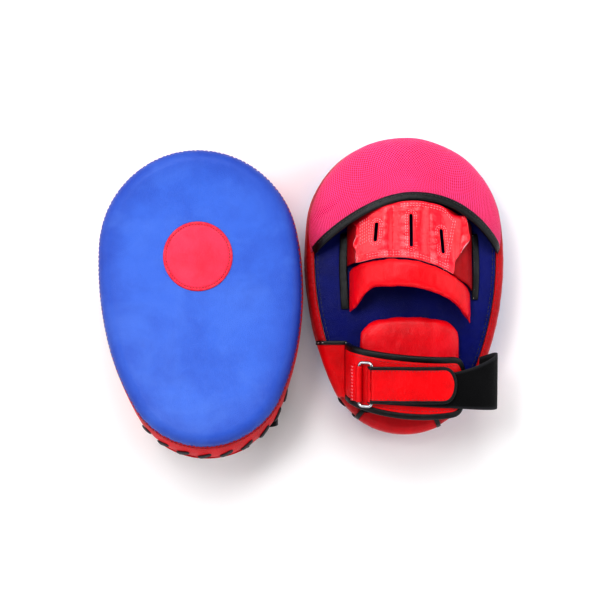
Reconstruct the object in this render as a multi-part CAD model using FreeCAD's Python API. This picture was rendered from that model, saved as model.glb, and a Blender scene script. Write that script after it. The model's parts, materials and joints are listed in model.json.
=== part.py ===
import FreeCAD, Part
import math
import os

# A pair of boxing focus mitts: the right-hand mitt lies face down, and the left-hand mitt
# lies face up beside it.  One mitt is built in its own frame, in millimetres: +X to its
# right, +Y toward the fingertips, +Z from the striking face toward the hand.  The middle of
# the striking face is at the frame's origin.

V = FreeCAD.Vector

# ---- body of one mitt ----
mitt_length = 290.0
mitt_width = 192.0
mitt_thickness = 51.0
crown_ease = 1.4            # how far the flanks swell past the circle of the crown
heel_radius = 75.0
bow_radius = 715.0          # hollow of the striking face, along the length
face_edge_radius = 13.0
back_edge_radius = 7.0
skin = 2.0                  # leather with its backing
gap = 0.25                  # clear space between sewn neighbours
running_gap = 0.4           # clear space between pieces that move on each other
face_wrap = 15.0            # how far the face leather turns up the side
back_border = 8.0           # how far the side leather turns over the back
front_foam = 20.0
patch_radius = 33.0
patch_y = 46.0
patch_thickness = 1.2

# ---- lacing that closes the heel after the foam is in ----
lace_count = 9
lace_first = -142.0         # degrees round the heel
lace_step = 15.6
lace_length = 15.0
lace_width = 4.5
lace_thickness = 1.6
lace_slant = 32.0
lace_block = 12.0           # depth of the block each stitch is cut from
lace_below_back = 17.5

# ---- mesh hood over the fingertips ----
hood_inset = 7.0
hood_height = 38.0
hood_sink = 5.0
hood_wall = 2.0
mouth_peak_y = 84.0
mouth_end_x = 88.0
mouth_end_y = 35.0
binding_width = 8.0
binding_proud = 0.9

# ---- finger stall and its leather panel ----
stall_x = 4.0
stall_half_width = 61.0
stall_height = 36.0
stall_wall = 2.2
stall_wall_top = 18.0
stall_top = [(-72.0, 37.0), (6.0, 77.0), (84.0, 33.0)]
slot_width = 3.0
slots = [(-22.5, 47.5, 18.0), (3.0, 48.0, 30.0), (30.0, 37.0, 20.0)]
foot_tape = 3.0
foot_tape_from = -12.0
foot_tape_to = 46.0

# ---- padded roll under the knuckles ----
roll_half_width = 60.0
roll_height = 46.0
roll_inner_half_width = 46.0
roll_inner_height = 31.0
roll_upper = [(-66.0, 12.0), (-10.0, 23.0), (72.0, -15.0)]
roll_lower = [(-66.0, -26.0), (-10.0, -7.5), (72.0, -47.0)]

# ---- wrist pad ----
pad_x = (-47.0, 54.0)
pad_y = (-100.0, -33.5)
pad_height = 15.0
pad_corner = 12.0
pad_edge = 5.0

# ---- wrist cuff, measured from its station on the back ----
wrist_y = -92.0
cuff_line = [(-58.0, -4.0), (-57.0, 18.0), (-50.0, 34.0), (-34.0, 43.0), (-8.0, 47.0),
             (22.0, 47.5), (45.0, 42.5), (58.0, 31.0)]
cuff_top = [(-62.0, 35.5), (-4.0, 27.0), (50.0, 25.0)]
cuff_bottom = [(-62.0, -18.0), (-4.0, -32.0), (50.0, -30.0)]
cuff_round = 7.0            # how far the free end bulges past its corners
right_cuff_end = 57.0
left_cuff_end = 50.0
cuff_leather = 2.0
cuff_padding = 2.5
cuff_tape = 5.0
cuff_tape_proud = 0.3
base_skin = 1.4
cuff_base_clear = 1.0
heel_x = (-44.0, 31.0)
heel_top_y = -125.0
heel_wrap = 9.0
heel_tape = 3.5

# ---- closure: ring, keeper, strap and tail ----
wire_radius = 1.5
ring_width = 13.0           # between the middles of its two long bars
ring_length = 41.0          # between the middles of its two arms
ring_corner = 3.5
ring_at = -44.5             # where its keeper bar stands along the cuff
keeper_wall = 1.2
keeper_tongue = 7.0
strap_thickness = 2.5
strap_top = [(-36.0, 16.0), (45.0, 12.0), (92.0, 32.0)]
strap_bottom = [(-36.0, -18.0), (30.0, -21.5), (92.0, -26.0)]
strap_root_inset = 3.0
strap_end_clear = 1.5
strap_leave_x = 40.0        # where the strap lifts off the cuff
strap_side = [(0.62, 42.5), (0.94, 34.0), (1.0, 22.0)]  # share of the way out, height
strap_foot = [(0.7, 8.0), (0.0, -4.0)]                  # share of the way out, height
right_strap_reach = 86.0
left_strap_reach = 64.0
tail_thickness = 2.2
tail_half_width = 17.0
tail_end_x = 41.0
tail_round = 10.0
hook_from_end = 6.0
hook_inset = 1.0
tail_ease = 16.0
hook_thickness = 1.2
tail_tape = 2.2
tail_tape_proud = 0.4

# ---- the pair as it lies ----
pair_offset_x = 195.5
pair_offset_y = -20.0
left_lean = 4.0             # degrees about the vertical

outer_radius = bow_radius + mitt_thickness
crown_radius = mitt_width / 2 - crown_ease
crown_y = mitt_length / 2 - crown_radius
heel_y = heel_radius - mitt_length / 2
far = 400.0


# ---- frame of the mitt ----

def flank():
    """Radius and centre of the arc that joins the crown's circle to the heel's."""
    half = mitt_width / 2
    low = half + 1.0
    high = 20000.0
    for _ in range(80):
        radius = (low + high) / 2
        up = math.sqrt((half - crown_radius) * (2 * radius - crown_radius - half))
        down = math.sqrt((half - heel_radius) * (2 * radius - heel_radius - half))
        if up + down < crown_y - heel_y:
            low = radius
        else:
            high = radius
    return radius, V(half - radius, crown_y - up, 0)


flank_radius, flank_centre = flank()


def back_z(y):
    return math.sqrt(outer_radius ** 2 - y ** 2) - bow_radius


def half_width_at(y):
    """Half the width of the outline at y, below the crown's circle."""
    toward_heel = (V(0, heel_y, 0) - flank_centre).normalize()
    if y < flank_centre.y + toward_heel.y * flank_radius:
        return math.sqrt(heel_radius ** 2 - (y - heel_y) ** 2)
    return flank_centre.x + math.sqrt(flank_radius ** 2 - (y - flank_centre.y) ** 2)


def station(y):
    """Placement of a frame that stands square on the back at y."""
    tilt = math.degrees(math.asin(y / outer_radius))
    turn = FreeCAD.Rotation(V(1, 0, 0), -tilt)
    return FreeCAD.Placement(V(0, y, back_z(y)), turn)


def placed(shape, placement):
    moved = shape.copy()
    moved.Placement = placement.multiply(moved.Placement)
    return moved


# ---- shapes that many pieces use ----

def outline_prism(grow):
    """Egg-shaped column over the outline of the mitt, grown by a distance all round."""
    crown = V(0, crown_y, 0)
    heel = V(0, heel_y, 0)
    toward_crown = (crown - flank_centre).normalize()
    toward_heel = (heel - flank_centre).normalize()
    reach = flank_radius + grow
    right_top = flank_centre + toward_crown * reach
    right_side = flank_centre + V(1, 0, 0) * reach
    right_low = flank_centre + toward_heel * reach
    top = crown + V(0, crown_radius + grow, 0)
    bottom = heel - V(0, heel_radius + grow, 0)
    left = [V(-point.x, point.y, 0) for point in (right_top, right_side, right_low)]
    edges = [Part.Arc(right_low, right_side, right_top).toShape(),
             Part.Arc(right_top, top, left[0]).toShape(),
             Part.Arc(left[0], left[1], left[2]).toShape(),
             Part.Arc(left[2], bottom, right_low).toShape()]
    column = Part.Face(Part.Wire(edges)).extrude(V(0, 0, far))
    column.translate(V(0, 0, -far / 2))
    return column


def bow_layer(low, high):
    """Layer between two depths, measured from the striking face toward the hand."""
    half_turn = math.asin(0.5 * far / bow_radius)

    def points(depth):
        radius = bow_radius + depth
        turns = (-half_turn, 0.0, half_turn)
        return [V(-far / 2, radius * math.sin(a), radius * math.cos(a) - bow_radius)
                for a in turns]

    near = points(low)
    away = points(high)
    edges = [Part.Arc(*near).toShape(), Part.makeLine(near[2], away[2]),
             Part.Arc(*reversed(away)).toShape(), Part.makeLine(away[0], near[0])]
    return Part.Face(Part.Wire(edges)).extrude(V(far, 0, 0))


def above_back(clear, height=far / 3):
    return bow_layer(mitt_thickness + clear, mitt_thickness + height)


def edges_at(shape, depth):
    """Edges that lie on the bowed surface at a depth."""
    found = []
    for edge in shape.Edges:
        middle = edge.valueAt((edge.FirstParameter + edge.LastParameter) / 2)
        from_axis = math.hypot(middle.y, middle.z + bow_radius) - bow_radius
        if abs(from_axis - depth) < 0.01:
            found.append(edge)
    return found


def body(grow):
    """The whole padded body, grown all round by a distance."""
    block = bow_layer(-grow, mitt_thickness + grow).common(outline_prism(grow))
    block = block.Solids[0]
    block = block.makeFillet(face_edge_radius + grow, edges_at(block, -grow))
    return block.makeFillet(back_edge_radius + grow,
                            edges_at(block, mitt_thickness + grow)).Solids[0]


def region(upper, lower, inset=0.0, end=None):
    """Column between two arcs given by three points each; end bulges the right side."""
    top = [V(x, y - inset, 0) for x, y in upper]
    low = [V(x, y + inset, 0) for x, y in lower]
    edges = [Part.Arc(*top).toShape()]
    if end is None:
        edges.append(Part.makeLine(top[2], low[2]))
    else:
        middle = V(end - inset, (top[2].y + low[2].y) / 2, 0)
        edges.append(Part.Arc(top[2], middle, low[2]).toShape())
    edges.append(Part.Arc(*reversed(low)).toShape())
    edges.append(Part.makeLine(low[0], top[0]))
    column = Part.Face(Part.Wire(edges)).extrude(V(0, 0, far))
    column.translate(V(0, 0, -far / 2))
    return column


def arch(half_width, height):
    """Elliptical tunnel solid along the whole mitt, standing on the back at the hand."""
    ellipse = Part.Ellipse(V(0, 0, 0), half_width, height)
    face = Part.Face(Part.Wire([ellipse.toShape()]))
    face.rotate(V(0, 0, 0), V(1, 0, 0), 90)
    face.translate(V(stall_x, far / 2, back_z(0)))
    return face.extrude(V(0, -far, 0))


def spline(points):
    curve = Part.BSplineCurve()
    curve.interpolate([V(x, 0, z) for x, z in points])
    return curve


def normal_point(curve, at, distance):
    """Point off a curve in the XZ plane, on its outer side."""
    tangent = curve.tangent(at)[0]
    return curve.value(at) + V(-tangent.z, 0, tangent.x) * distance


def parameter_at_x(curve, x):
    """Parameter where a curve that runs to the right first reaches x above the back."""
    low = curve.FirstParameter + 0.05 * (curve.LastParameter - curve.FirstParameter)
    high = curve.LastParameter
    for _ in range(60):
        middle = (low + high) / 2
        if curve.value(middle).x < x:
            low = middle
        else:
            high = middle
    return middle


def band(curve, start, end, inner, outer, samples=20):
    """Curved plate between two distances off a curve, as wide as the mitt."""
    steps = [start + (end - start) * i / samples for i in range(samples + 1)]
    run = [i / samples for i in range(samples + 1)]
    below = [normal_point(curve, s, inner(f)) for s, f in zip(steps, run)]
    above = [normal_point(curve, s, outer(f)) for s, f in zip(steps, run)]
    lower = Part.BSplineCurve()
    lower.interpolate(below)
    upper = Part.BSplineCurve()
    upper.interpolate(above)
    edges = [lower.toShape(), Part.makeLine(below[-1], above[-1]),
             upper.toShape(), Part.makeLine(above[0], below[0])]
    face = Part.Face(Part.Wire(Part.__sortEdges__(edges)))
    face.translate(V(0, -far / 4, 0))
    return face.extrude(V(0, far / 2, 0))


def even(distance):
    return lambda fraction: distance


# ---- padded body ----

def padded_body():
    outside = body(0.0)
    shell = outside.cut(body(-skin))
    border = outline_prism(-back_border)
    window = outline_prism(-back_border - gap)
    core = body(-skin - gap)
    split = skin + gap + front_foam
    pieces = {}
    pieces["strike_face"] = shell.common(bow_layer(-skin, face_wrap))
    pieces["gusset"] = shell.common(bow_layer(face_wrap + gap, mitt_thickness + skin)).cut(border)
    pieces["back_panel"] = shell.common(above_back(-skin - gap)).common(window)
    pieces["foam_core_front"] = core.common(bow_layer(0.0, split))
    pieces["foam_core_rear"] = core.common(bow_layer(split + gap, mitt_thickness))
    disc = Part.makeCylinder(patch_radius, far, V(0, patch_y, -far / 2))
    pieces["target_patch"] = disc.common(bow_layer(-gap - patch_thickness, -gap))
    return pieces


def edge_lacing():
    """Short slanted stitches of waxed cord round the heel, near the back."""
    shell = outline_prism(gap + lace_thickness).cut(outline_prism(gap))
    stitches = []
    for i in range(lace_count):
        angle = lace_first + i * lace_step
        corner = V(-lace_length / 2, -lace_block / 2, -lace_width / 2)
        bar = Part.makeBox(lace_length, lace_block, lace_width, corner)
        bar.rotate(V(0, 0, 0), V(0, 1, 0), lace_slant)
        bar.rotate(V(0, 0, 0), V(0, 0, 1), angle + 90)
        turn = math.radians(angle)
        x = heel_radius * math.cos(turn)
        y = heel_y + heel_radius * math.sin(turn)
        bar.translate(V(x, y, back_z(y) - lace_below_back))
        stitches.append(bar.common(shell).Solids[0])
    return Part.makeCompound(stitches)


def heel_trim(outer, inner):
    """Leather patch over the heel's edge, and the tapes down its two sides."""
    cover = outer.cut(inner).common(bow_layer(mitt_thickness - heel_wrap, far / 3))
    depth = heel_top_y + mitt_length

    def strip(x0, x1):
        return cover.common(Part.makeBox(x1 - x0, depth, far, V(x0, -mitt_length, -far / 2)))

    patch = strip(*heel_x)
    tapes = [strip(heel_x[0] - gap - heel_tape, heel_x[0] - gap),
             strip(heel_x[1] + gap, heel_x[1] + gap + heel_tape)]
    return patch, Part.makeCompound([tape.Solids[0] for tape in tapes])


# ---- hand side ----

def dome(shrink):
    """Flat dome over the crown, on the back."""
    radius = crown_radius - hood_inset - shrink
    height = hood_height + hood_sink - shrink
    quarter = Part.Arc(Part.Ellipse(V(0, 0, 0), radius, height), 0, math.pi / 2).toShape()
    edges = [quarter, Part.makeLine(V(0, height, 0), V(0, 0, 0)),
             Part.makeLine(V(0, 0, 0), V(radius, 0, 0))]
    face = Part.Face(Part.Wire(edges))
    face.rotate(V(0, 0, 0), V(1, 0, 0), 90)
    solid = face.revolve(V(0, 0, 0), V(0, 0, 1), 360)
    solid.translate(V(0, 0, -hood_sink))
    return placed(solid, station(crown_y))


def mouth(grow):
    """Column whose round edge is the mouth of the hood."""
    rise = mouth_peak_y - mouth_end_y
    radius = (mouth_end_x ** 2 + rise ** 2) / (2 * rise)
    return Part.makeCylinder(radius + grow, far, V(0, mouth_peak_y - radius, -far / 2))


def hood():
    lift = above_back(gap)
    wall = dome(0.0).cut(dome(hood_wall)).common(lift)
    mesh = wall.cut(mouth(binding_width + gap))
    tape = dome(-binding_proud).cut(dome(hood_wall + binding_proud)).common(lift)
    tape = tape.common(mouth(binding_width)).cut(mouth(0.0))
    below_peak = Part.makeBox(far, mouth_end_y + far / 2, far, V(-far / 2, -far / 2, -far / 2))
    return mesh.cut(below_peak), tape.cut(below_peak)


def finger_stall():
    lift = above_back(gap)
    bottom = [(x, y + gap) for x, y in roll_upper]
    tunnel = region(stall_top, bottom).common(lift)
    tunnel = tunnel.common(arch(stall_half_width, stall_height))
    tunnel = tunnel.cut(arch(stall_half_width - stall_wall, stall_height - stall_wall))
    base = back_z(0)
    split = Part.makeBox(far, far, far, V(-far / 2, -far / 2, base + stall_wall_top))
    panel = tunnel.common(split)
    for x, y, length in slots:
        panel = panel.cut(Part.makeBox(slot_width, length, far,
                                       V(x - slot_width / 2, y - length / 2, 0)))
    split.translate(V(0, 0, -gap))
    walls = tunnel.cut(split)
    layer = above_back(gap, gap + foot_tape)
    tapes = []
    for side in (-1, 1):
        x = stall_x + side * (stall_half_width + gap + foot_tape / 2) - foot_tape / 2
        strip = Part.makeBox(foot_tape, foot_tape_to - foot_tape_from, far,
                             V(x, foot_tape_from, -far / 2))
        tapes.append(strip.common(layer).Solids[0])
    return panel, walls, Part.makeCompound(tapes)


def knuckle_roll():
    def solid(inset):
        arc = region(roll_upper, roll_lower, inset).common(above_back(gap + inset))
        arc = arc.common(arch(roll_half_width - inset, roll_height - inset))
        return arc.cut(arch(roll_inner_half_width + inset, roll_inner_height + inset)).Solids[0]

    whole = solid(0.0)
    return whole.cut(solid(skin)), solid(skin + gap)


def wrist_pad():
    def solid(inset):
        x0, x1 = (pad_x[0] + inset, pad_x[1] - inset)
        y0, y1 = (pad_y[0] + inset, pad_y[1] - inset)
        block = Part.makeBox(x1 - x0, y1 - y0, far, V(x0, y0, -far / 2))
        upright = [edge for edge in block.Edges if edge.Length > far - 1]
        block = block.makeFillet(pad_corner - inset, upright)
        block = block.common(above_back(gap + inset, pad_height - inset)).Solids[0]
        rim = edges_at(block, mitt_thickness + pad_height - inset)
        return block.makeFillet(pad_edge - inset, rim)

    whole = solid(0.0)
    return whole.cut(solid(skin)), solid(skin + gap)


# ---- wrist cuff and its closure, in the frame of their station ----

def cuff_curve():
    return spline(cuff_line)


def strap_level():
    return cuff_tape_proud + running_gap


def bar_level():
    """Height of the ring's bars off the cuff, with the strap passing below one."""
    return strap_level() + strap_thickness + running_gap + wire_radius


def keeper_bar():
    curve = cuff_curve()
    level = gap + 1.5 * keeper_wall + gap + wire_radius
    return normal_point(curve, parameter_at_x(curve, ring_at), level)


def outer_bar():
    """Middle of the ring's free bar: on its level line, a ring's width from the keeper."""
    curve = cuff_curve()
    keeper = keeper_bar()
    low = parameter_at_x(curve, ring_at)
    high = parameter_at_x(curve, ring_at + 2 * ring_width)
    for _ in range(60):
        at = (low + high) / 2
        point = normal_point(curve, at, bar_level())
        if (point - keeper).Length < ring_width:
            low = at
        else:
            high = at
    return point, at


def cuff(end_x):
    curve = cuff_curve()
    start = curve.FirstParameter
    end = curve.LastParameter
    total = cuff_leather + gap + cuff_padding
    top = cuff_top[:2] + [(end_x - cuff_round, cuff_top[2][1])]
    bottom = cuff_bottom[:2] + [(end_x - cuff_round, cuff_bottom[2][1])]

    def layer(inner, outer, inset):
        plate = band(curve, start, end, even(inner), even(outer))
        return plate.common(region(top, bottom, inset, end_x))

    leather = layer(-cuff_leather, 0.0, cuff_tape + gap)
    padding = layer(-total, -cuff_leather - gap, cuff_tape + gap)
    tape = layer(-total - cuff_tape_proud, cuff_tape_proud, 0.0)
    tape = tape.cut(region(top, bottom, cuff_tape, end_x))
    return leather, padding, tape


def keeper():
    """Leather loop round the ring's inner bar, with its tongue on the cuff."""
    curve = cuff_curve()
    bar = keeper_bar()
    length = ring_length - 2 * ring_corner
    at = parameter_at_x(curve, ring_at)
    hole = wire_radius + gap
    start = V(bar.x, -length / 2, bar.z)
    loop = Part.makeCylinder(hole + keeper_wall, length, start, V(0, 1, 0))
    tongue = band(curve, parameter_at_x(curve, ring_at - keeper_tongue), at,
                  even(gap), even(gap + keeper_wall), 8)
    window = Part.makeBox(far, length, far, V(-far / 2, -length / 2, -far / 2))
    loop = loop.fuse(tongue.common(window))
    return loop.cut(Part.makeCylinder(hole, length, start, V(0, 1, 0))).removeSplitter()


def ring():
    """Closed loop of steel wire with round corners."""
    half_x = ring_width / 2
    half_y = ring_length / 2
    bend = ring_corner
    cut = bend * (1 - math.sqrt(0.5))
    corners = [(1, 1), (-1, 1), (-1, -1), (1, -1)]
    edges = []
    ends = []
    for sx, sy in corners:
        on_arm = V(sx * (half_x - bend), sy * half_y, 0)
        on_bar = V(sx * half_x, sy * (half_y - bend), 0)
        middle = V(sx * (half_x - cut), sy * (half_y - cut), 0)
        edges.append(Part.Arc(on_arm, middle, on_bar).toShape())
        ends.append((on_arm, on_bar))
    edges.append(Part.makeLine(ends[0][0], ends[1][0]))
    edges.append(Part.makeLine(ends[1][1], ends[2][1]))
    edges.append(Part.makeLine(ends[2][0], ends[3][0]))
    edges.append(Part.makeLine(ends[3][1], ends[0][1]))
    path = Part.Wire(Part.__sortEdges__(edges))
    wire = Part.Circle(V(half_x, 0, 0), V(0, 1, 0), wire_radius).toShape()
    loop = path.makePipeShell([Part.Wire([wire])], True, True)
    inner = keeper_bar()
    outer, _ = outer_bar()
    slope = math.degrees(math.atan2(outer.z - inner.z, outer.x - inner.x))
    loop.rotate(V(0, 0, 0), V(0, 1, 0), -slope)
    loop.translate((inner + outer) / 2)
    return loop


def strap(reach):
    """Loop-faced strap from the side of the back up, over the cuff and to the ring."""
    curve = cuff_curve()
    bar, _ = outer_bar()
    clear = wire_radius + running_gap + tail_thickness + running_gap
    start = parameter_at_x(curve, bar.x + clear + strap_end_clear)
    leave = parameter_at_x(curve, strap_leave_x)
    points = []
    for i in range(7):
        point = normal_point(curve, start + (leave - start) * i / 6, strap_level())
        points.append((point.x, point.z))
    inside = reach - strap_thickness
    root = half_width_at(wrist_y) - back_edge_radius - strap_root_inset
    points += [(strap_leave_x + share * (inside - strap_leave_x), z) for share, z in strap_side]
    points += [(root + share * (inside - root), z) for share, z in strap_foot]
    line = spline(points)
    plate = band(line, line.FirstParameter, line.LastParameter,
                 even(0.0), even(strap_thickness), 40)
    return plate.common(region(strap_top, strap_bottom))


def tail_region(inset):
    """Column over the tail, whose free end is round."""
    half = tail_half_width - inset
    tip = tail_end_x - inset
    corners = [V(tip - tail_round, half, -far / 2), V(-far / 4, half, -far / 2),
               V(-far / 4, -half, -far / 2), V(tip - tail_round, -half, -far / 2)]
    edges = [Part.makeLine(corners[i], corners[i + 1]) for i in range(3)]
    edges.append(Part.Arc(corners[3], V(tip, 0, -far / 2), corners[0]).toShape())
    return Part.Face(Part.Wire(edges)).extrude(V(0, 0, far))


def tail():
    """End of the strap: round the ring's free bar and back over the strap."""
    curve = cuff_curve()
    bar, start = outer_bar()
    end = parameter_at_x(curve, tail_end_x + 1.0)
    rest = strap_level() + strap_thickness + running_gap + hook_thickness + gap
    first = bar_level() + wire_radius + running_gap
    length = tail_end_x - bar.x

    def under(fraction):
        eased = min(1.0, fraction * length / tail_ease)
        return first + (rest - first) * eased * eased * (3 - 2 * eased)

    def over(fraction):
        return under(fraction) + tail_thickness

    tongue = band(curve, start, end, under, over)
    tangent = curve.tangent(start)[0]
    slope = math.degrees(math.atan2(tangent.z, tangent.x))
    hole = wire_radius + running_gap
    wrap = Part.makeCylinder(hole + tail_thickness, far, V(0, 0, -far / 2), V(0, 0, 1), 160)
    wrap = wrap.cut(Part.makeCylinder(hole, far, V(0, 0, -far / 2)))
    wrap.rotate(V(0, 0, 0), V(1, 0, 0), 90)
    wrap.rotate(V(0, 0, 0), V(0, 1, 0), -(slope + 90))
    wrap.translate(bar)
    inside = tail_region(tail_tape + gap)
    whole = tongue.common(inside).fuse(wrap.common(inside)).removeSplitter()
    flat = parameter_at_x(curve, bar.x + tail_ease + 2.0)
    hook_top = rest - gap
    hook = band(curve, flat, parameter_at_x(curve, tail_end_x - hook_from_end),
                even(hook_top - hook_thickness), even(hook_top), 12)
    hook = hook.common(tail_region(tail_tape + hook_inset))
    tape = band(curve, start, end, lambda f: under(f) - gap / 2, lambda f: over(f) + tail_tape_proud)
    tape = tape.common(tail_region(0.0)).cut(tail_region(tail_tape))
    return whole, hook, tape


# ---- one mitt ----

def build_mitt(reach, cuff_end):
    pieces = padded_body()
    over = body(gap + base_skin)
    under = body(gap)
    pieces["edge_lacing"] = edge_lacing()
    pieces["heel_patch"], pieces["heel_tapes"] = heel_trim(over, under)
    pieces["mesh_hood"], pieces["hood_binding"] = hood()
    pieces["glove_panel"], pieces["finger_stall"], pieces["stall_tapes"] = finger_stall()
    pieces["knuckle_roll_cover"], pieces["knuckle_roll_foam"] = knuckle_roll()
    pieces["wrist_pad_cover"], pieces["wrist_pad_foam"] = wrist_pad()
    frame = station(wrist_y)
    lift = above_back(gap)
    closure = {"ring_keeper": keeper(), "ring": ring(), "strap": strap(reach)}
    closure["cuff"], closure["cuff_padding"], closure["cuff_binding"] = cuff(cuff_end)
    closure["tail"], closure["tail_hook"], closure["tail_binding"] = tail()
    for name, shape in closure.items():
        pieces[name] = placed(shape, frame)
    for name in ("cuff", "cuff_padding", "cuff_binding", "strap"):
        pieces[name] = pieces[name].common(lift)
    foot = cuff_line[0][0] - cuff_base_clear
    base = over.cut(under).common(above_back(-back_edge_radius, far / 3))
    side = Part.makeBox(far / 2, cuff_top[0][1] - cuff_bottom[0][1], far,
                        V(foot - far / 2, wrist_y + cuff_bottom[0][1], -far / 2))
    pieces["cuff_base"] = base.common(side)
    return pieces


# ---- the pair ----

def lowest(shapes, placement):
    """Height of the lowest point of some pieces once they are placed."""
    heights = []
    for shape in shapes:
        points, _ = shape.tessellate(0.3)
        heights += [placement.multVec(point).z for point in points]
    return min(heights)


def tilt_of(pieces):
    """Tilt at which the upturned mitt rests on its knuckle roll and its closure at once."""
    roll = [pieces["knuckle_roll_cover"]]
    closure = [pieces["tail"], pieces["tail_binding"]]
    low = -15.0
    high = 15.0
    for _ in range(40):
        tilt = (low + high) / 2
        turn = FreeCAD.Placement(V(0, 0, 0), FreeCAD.Rotation(V(1, 0, 0), tilt))
        if lowest(closure, turn) < lowest(roll, turn):
            high = tilt
        else:
            low = tilt
    return tilt


def boxed(shapes):
    """Box of some pieces, from their surfaces."""
    points = []
    for shape in shapes:
        points += shape.tessellate(0.1)[0]
    return FreeCAD.BoundBox(min(p.x for p in points), min(p.y for p in points),
                            min(p.z for p in points), max(p.x for p in points),
                            max(p.y for p in points), max(p.z for p in points))


def build_pair():
    right = build_mitt(right_strap_reach, right_cuff_end)
    left = {name: shape.mirror(V(0, 0, 0), V(0, 0, 1))
            for name, shape in build_mitt(left_strap_reach, left_cuff_end).items()}
    level = FreeCAD.Placement()
    right_floor = lowest(right.values(), level)
    right_place = FreeCAD.Placement(V(pair_offset_x / 2, -pair_offset_y / 2, -right_floor),
                                    FreeCAD.Rotation())
    turn = FreeCAD.Rotation(V(0, 0, 1), left_lean).multiply(
        FreeCAD.Rotation(V(1, 0, 0), tilt_of(left)))
    left_floor = lowest(left.values(), FreeCAD.Placement(V(0, 0, 0), turn))
    left_place = FreeCAD.Placement(V(-pair_offset_x / 2, pair_offset_y / 2, -left_floor), turn)
    box = boxed([placed(shape, right_place) for shape in right.values()]
                + [placed(shape, left_place) for shape in left.values()])
    centre = FreeCAD.Placement(V(-box.Center.x, -box.Center.y, -box.ZMin), FreeCAD.Rotation())
    return right, left, centre.multiply(right_place), centre.multiply(left_place)


def write(side, pieces, placement):
    for name, shape in pieces.items():
        placed(shape, placement).exportStep("parts/" + side + "_" + name + ".step")


os.makedirs("parts", exist_ok=True)
right_pieces, left_pieces, right_placement, left_placement = build_pair()
write("right", right_pieces, right_placement)
write("left", left_pieces, left_placement)
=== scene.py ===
import json
import math
import bmesh
import bpy
import numpy as np
from mathutils import Matrix, Vector, noise


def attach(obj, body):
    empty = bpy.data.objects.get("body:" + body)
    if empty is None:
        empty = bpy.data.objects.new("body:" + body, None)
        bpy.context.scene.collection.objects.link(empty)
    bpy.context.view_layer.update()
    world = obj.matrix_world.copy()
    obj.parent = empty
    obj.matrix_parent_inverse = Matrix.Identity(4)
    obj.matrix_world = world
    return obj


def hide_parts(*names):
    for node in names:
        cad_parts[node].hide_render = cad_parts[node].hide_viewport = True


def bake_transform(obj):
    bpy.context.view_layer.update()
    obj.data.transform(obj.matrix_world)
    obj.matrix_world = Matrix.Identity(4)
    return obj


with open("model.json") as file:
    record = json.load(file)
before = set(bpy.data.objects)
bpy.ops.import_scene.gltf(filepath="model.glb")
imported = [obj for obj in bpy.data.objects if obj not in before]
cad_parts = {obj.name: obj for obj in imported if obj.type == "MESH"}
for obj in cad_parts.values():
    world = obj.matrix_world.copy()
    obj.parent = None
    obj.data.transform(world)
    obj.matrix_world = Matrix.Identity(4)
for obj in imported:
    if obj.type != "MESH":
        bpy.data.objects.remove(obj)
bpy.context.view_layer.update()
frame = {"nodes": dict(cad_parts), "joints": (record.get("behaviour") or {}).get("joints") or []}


# ---- floor, light and camera ----
# The pair lies on a plain pale sweep of paper in a white room with a dim ceiling.  A big soft
# box hangs over its far side and three more fill in round it.  The camera looks nearly
# straight down through a long lens.

scene = bpy.context.scene
scene.view_settings.view_transform = "Standard"
scene.view_settings.gamma = 0.78


def put(name, data):
    """A new object in the scene."""
    made = bpy.data.objects.new(name, data)
    scene.collection.objects.link(made)
    return made


paper = bpy.data.meshes.new("floor")
corners = [(-6, -6, -0.0004), (6, -6, -0.0004), (6, 6, -0.0004), (-6, 6, -0.0004)]
paper.from_pydata(corners, [], [(0, 1, 2, 3)])
put("floor", paper)


def new_material(name):
    """A material with its node tree and its shader."""
    material = bpy.data.materials.new(name)
    material.use_nodes = True
    return material, material.node_tree, material.node_tree.nodes["Principled BSDF"]


def set_inputs(node, **values):
    """Constants for a node's sockets; an underscore in a name stands for a space."""
    for label, value in values.items():
        node.inputs[label.replace("_", " ")].default_value = value


paper_finish, _, paper_shader = new_material("floor paper")
set_inputs(paper_shader, Base_Color=(0.93, 0.93, 0.935, 1), Roughness=0.55, Specular_IOR_Level=0.3)
paper.materials.append(paper_finish)

room = bpy.data.worlds.new("room")
scene.world = room
room.use_nodes = True
sky = room.node_tree
walls_shine = sky.nodes["Background"]
heading = sky.nodes.new("ShaderNodeTexCoord")
height = sky.nodes.new("ShaderNodeSeparateXYZ")
ceiling = sky.nodes.new("ShaderNodeMapRange")
ceiling.interpolation_type = "SMOOTHSTEP"
set_inputs(ceiling, From_Min=0.30, From_Max=0.92, To_Min=1.0, To_Max=0.12)
sky.links.new(heading.outputs["Generated"], height.inputs[0])
sky.links.new(height.outputs["Z"], ceiling.inputs["Value"])
sky.links.new(ceiling.outputs[0], walls_shine.inputs["Strength"])
walls_shine.inputs["Color"].default_value = (1.0, 1.0, 1.0, 1)


def aimed(thing, at, aim):
    """Stands a lamp or camera at one place and turns it to another."""
    thing.location = at
    thing.rotation_euler = (Vector(aim) - Vector(at)).to_track_quat("-Z", "Y").to_euler()
    return thing


def soft_box(name, at, aim, size, watts):
    lamp = bpy.data.lights.new(name, "AREA")
    lamp.shape = "RECTANGLE"
    lamp.size, lamp.size_y = size
    lamp.energy = watts
    aimed(put(name, lamp), at, aim)


soft_box("overhead box", (-0.15, 0.95, 1.55), (0.0, 0.05, 0.0), (1.2, 0.7), 17)
soft_box("small box", (-0.42, 0.32, 1.50), (0.02, 0.02, 0.05), (0.42, 0.26), 5)
soft_box("left box", (-1.45, 0.1, 1.1), (0.0, 0.0, 0.05), (0.8, 1.2), 9)
soft_box("right box", (1.45, 0.2, 1.1), (0.0, 0.0, 0.05), (0.8, 1.2), 8)
soft_box("near box", (0.1, -1.45, 1.2), (0.0, -0.05, 0.05), (1.2, 0.6), 7)

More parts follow.
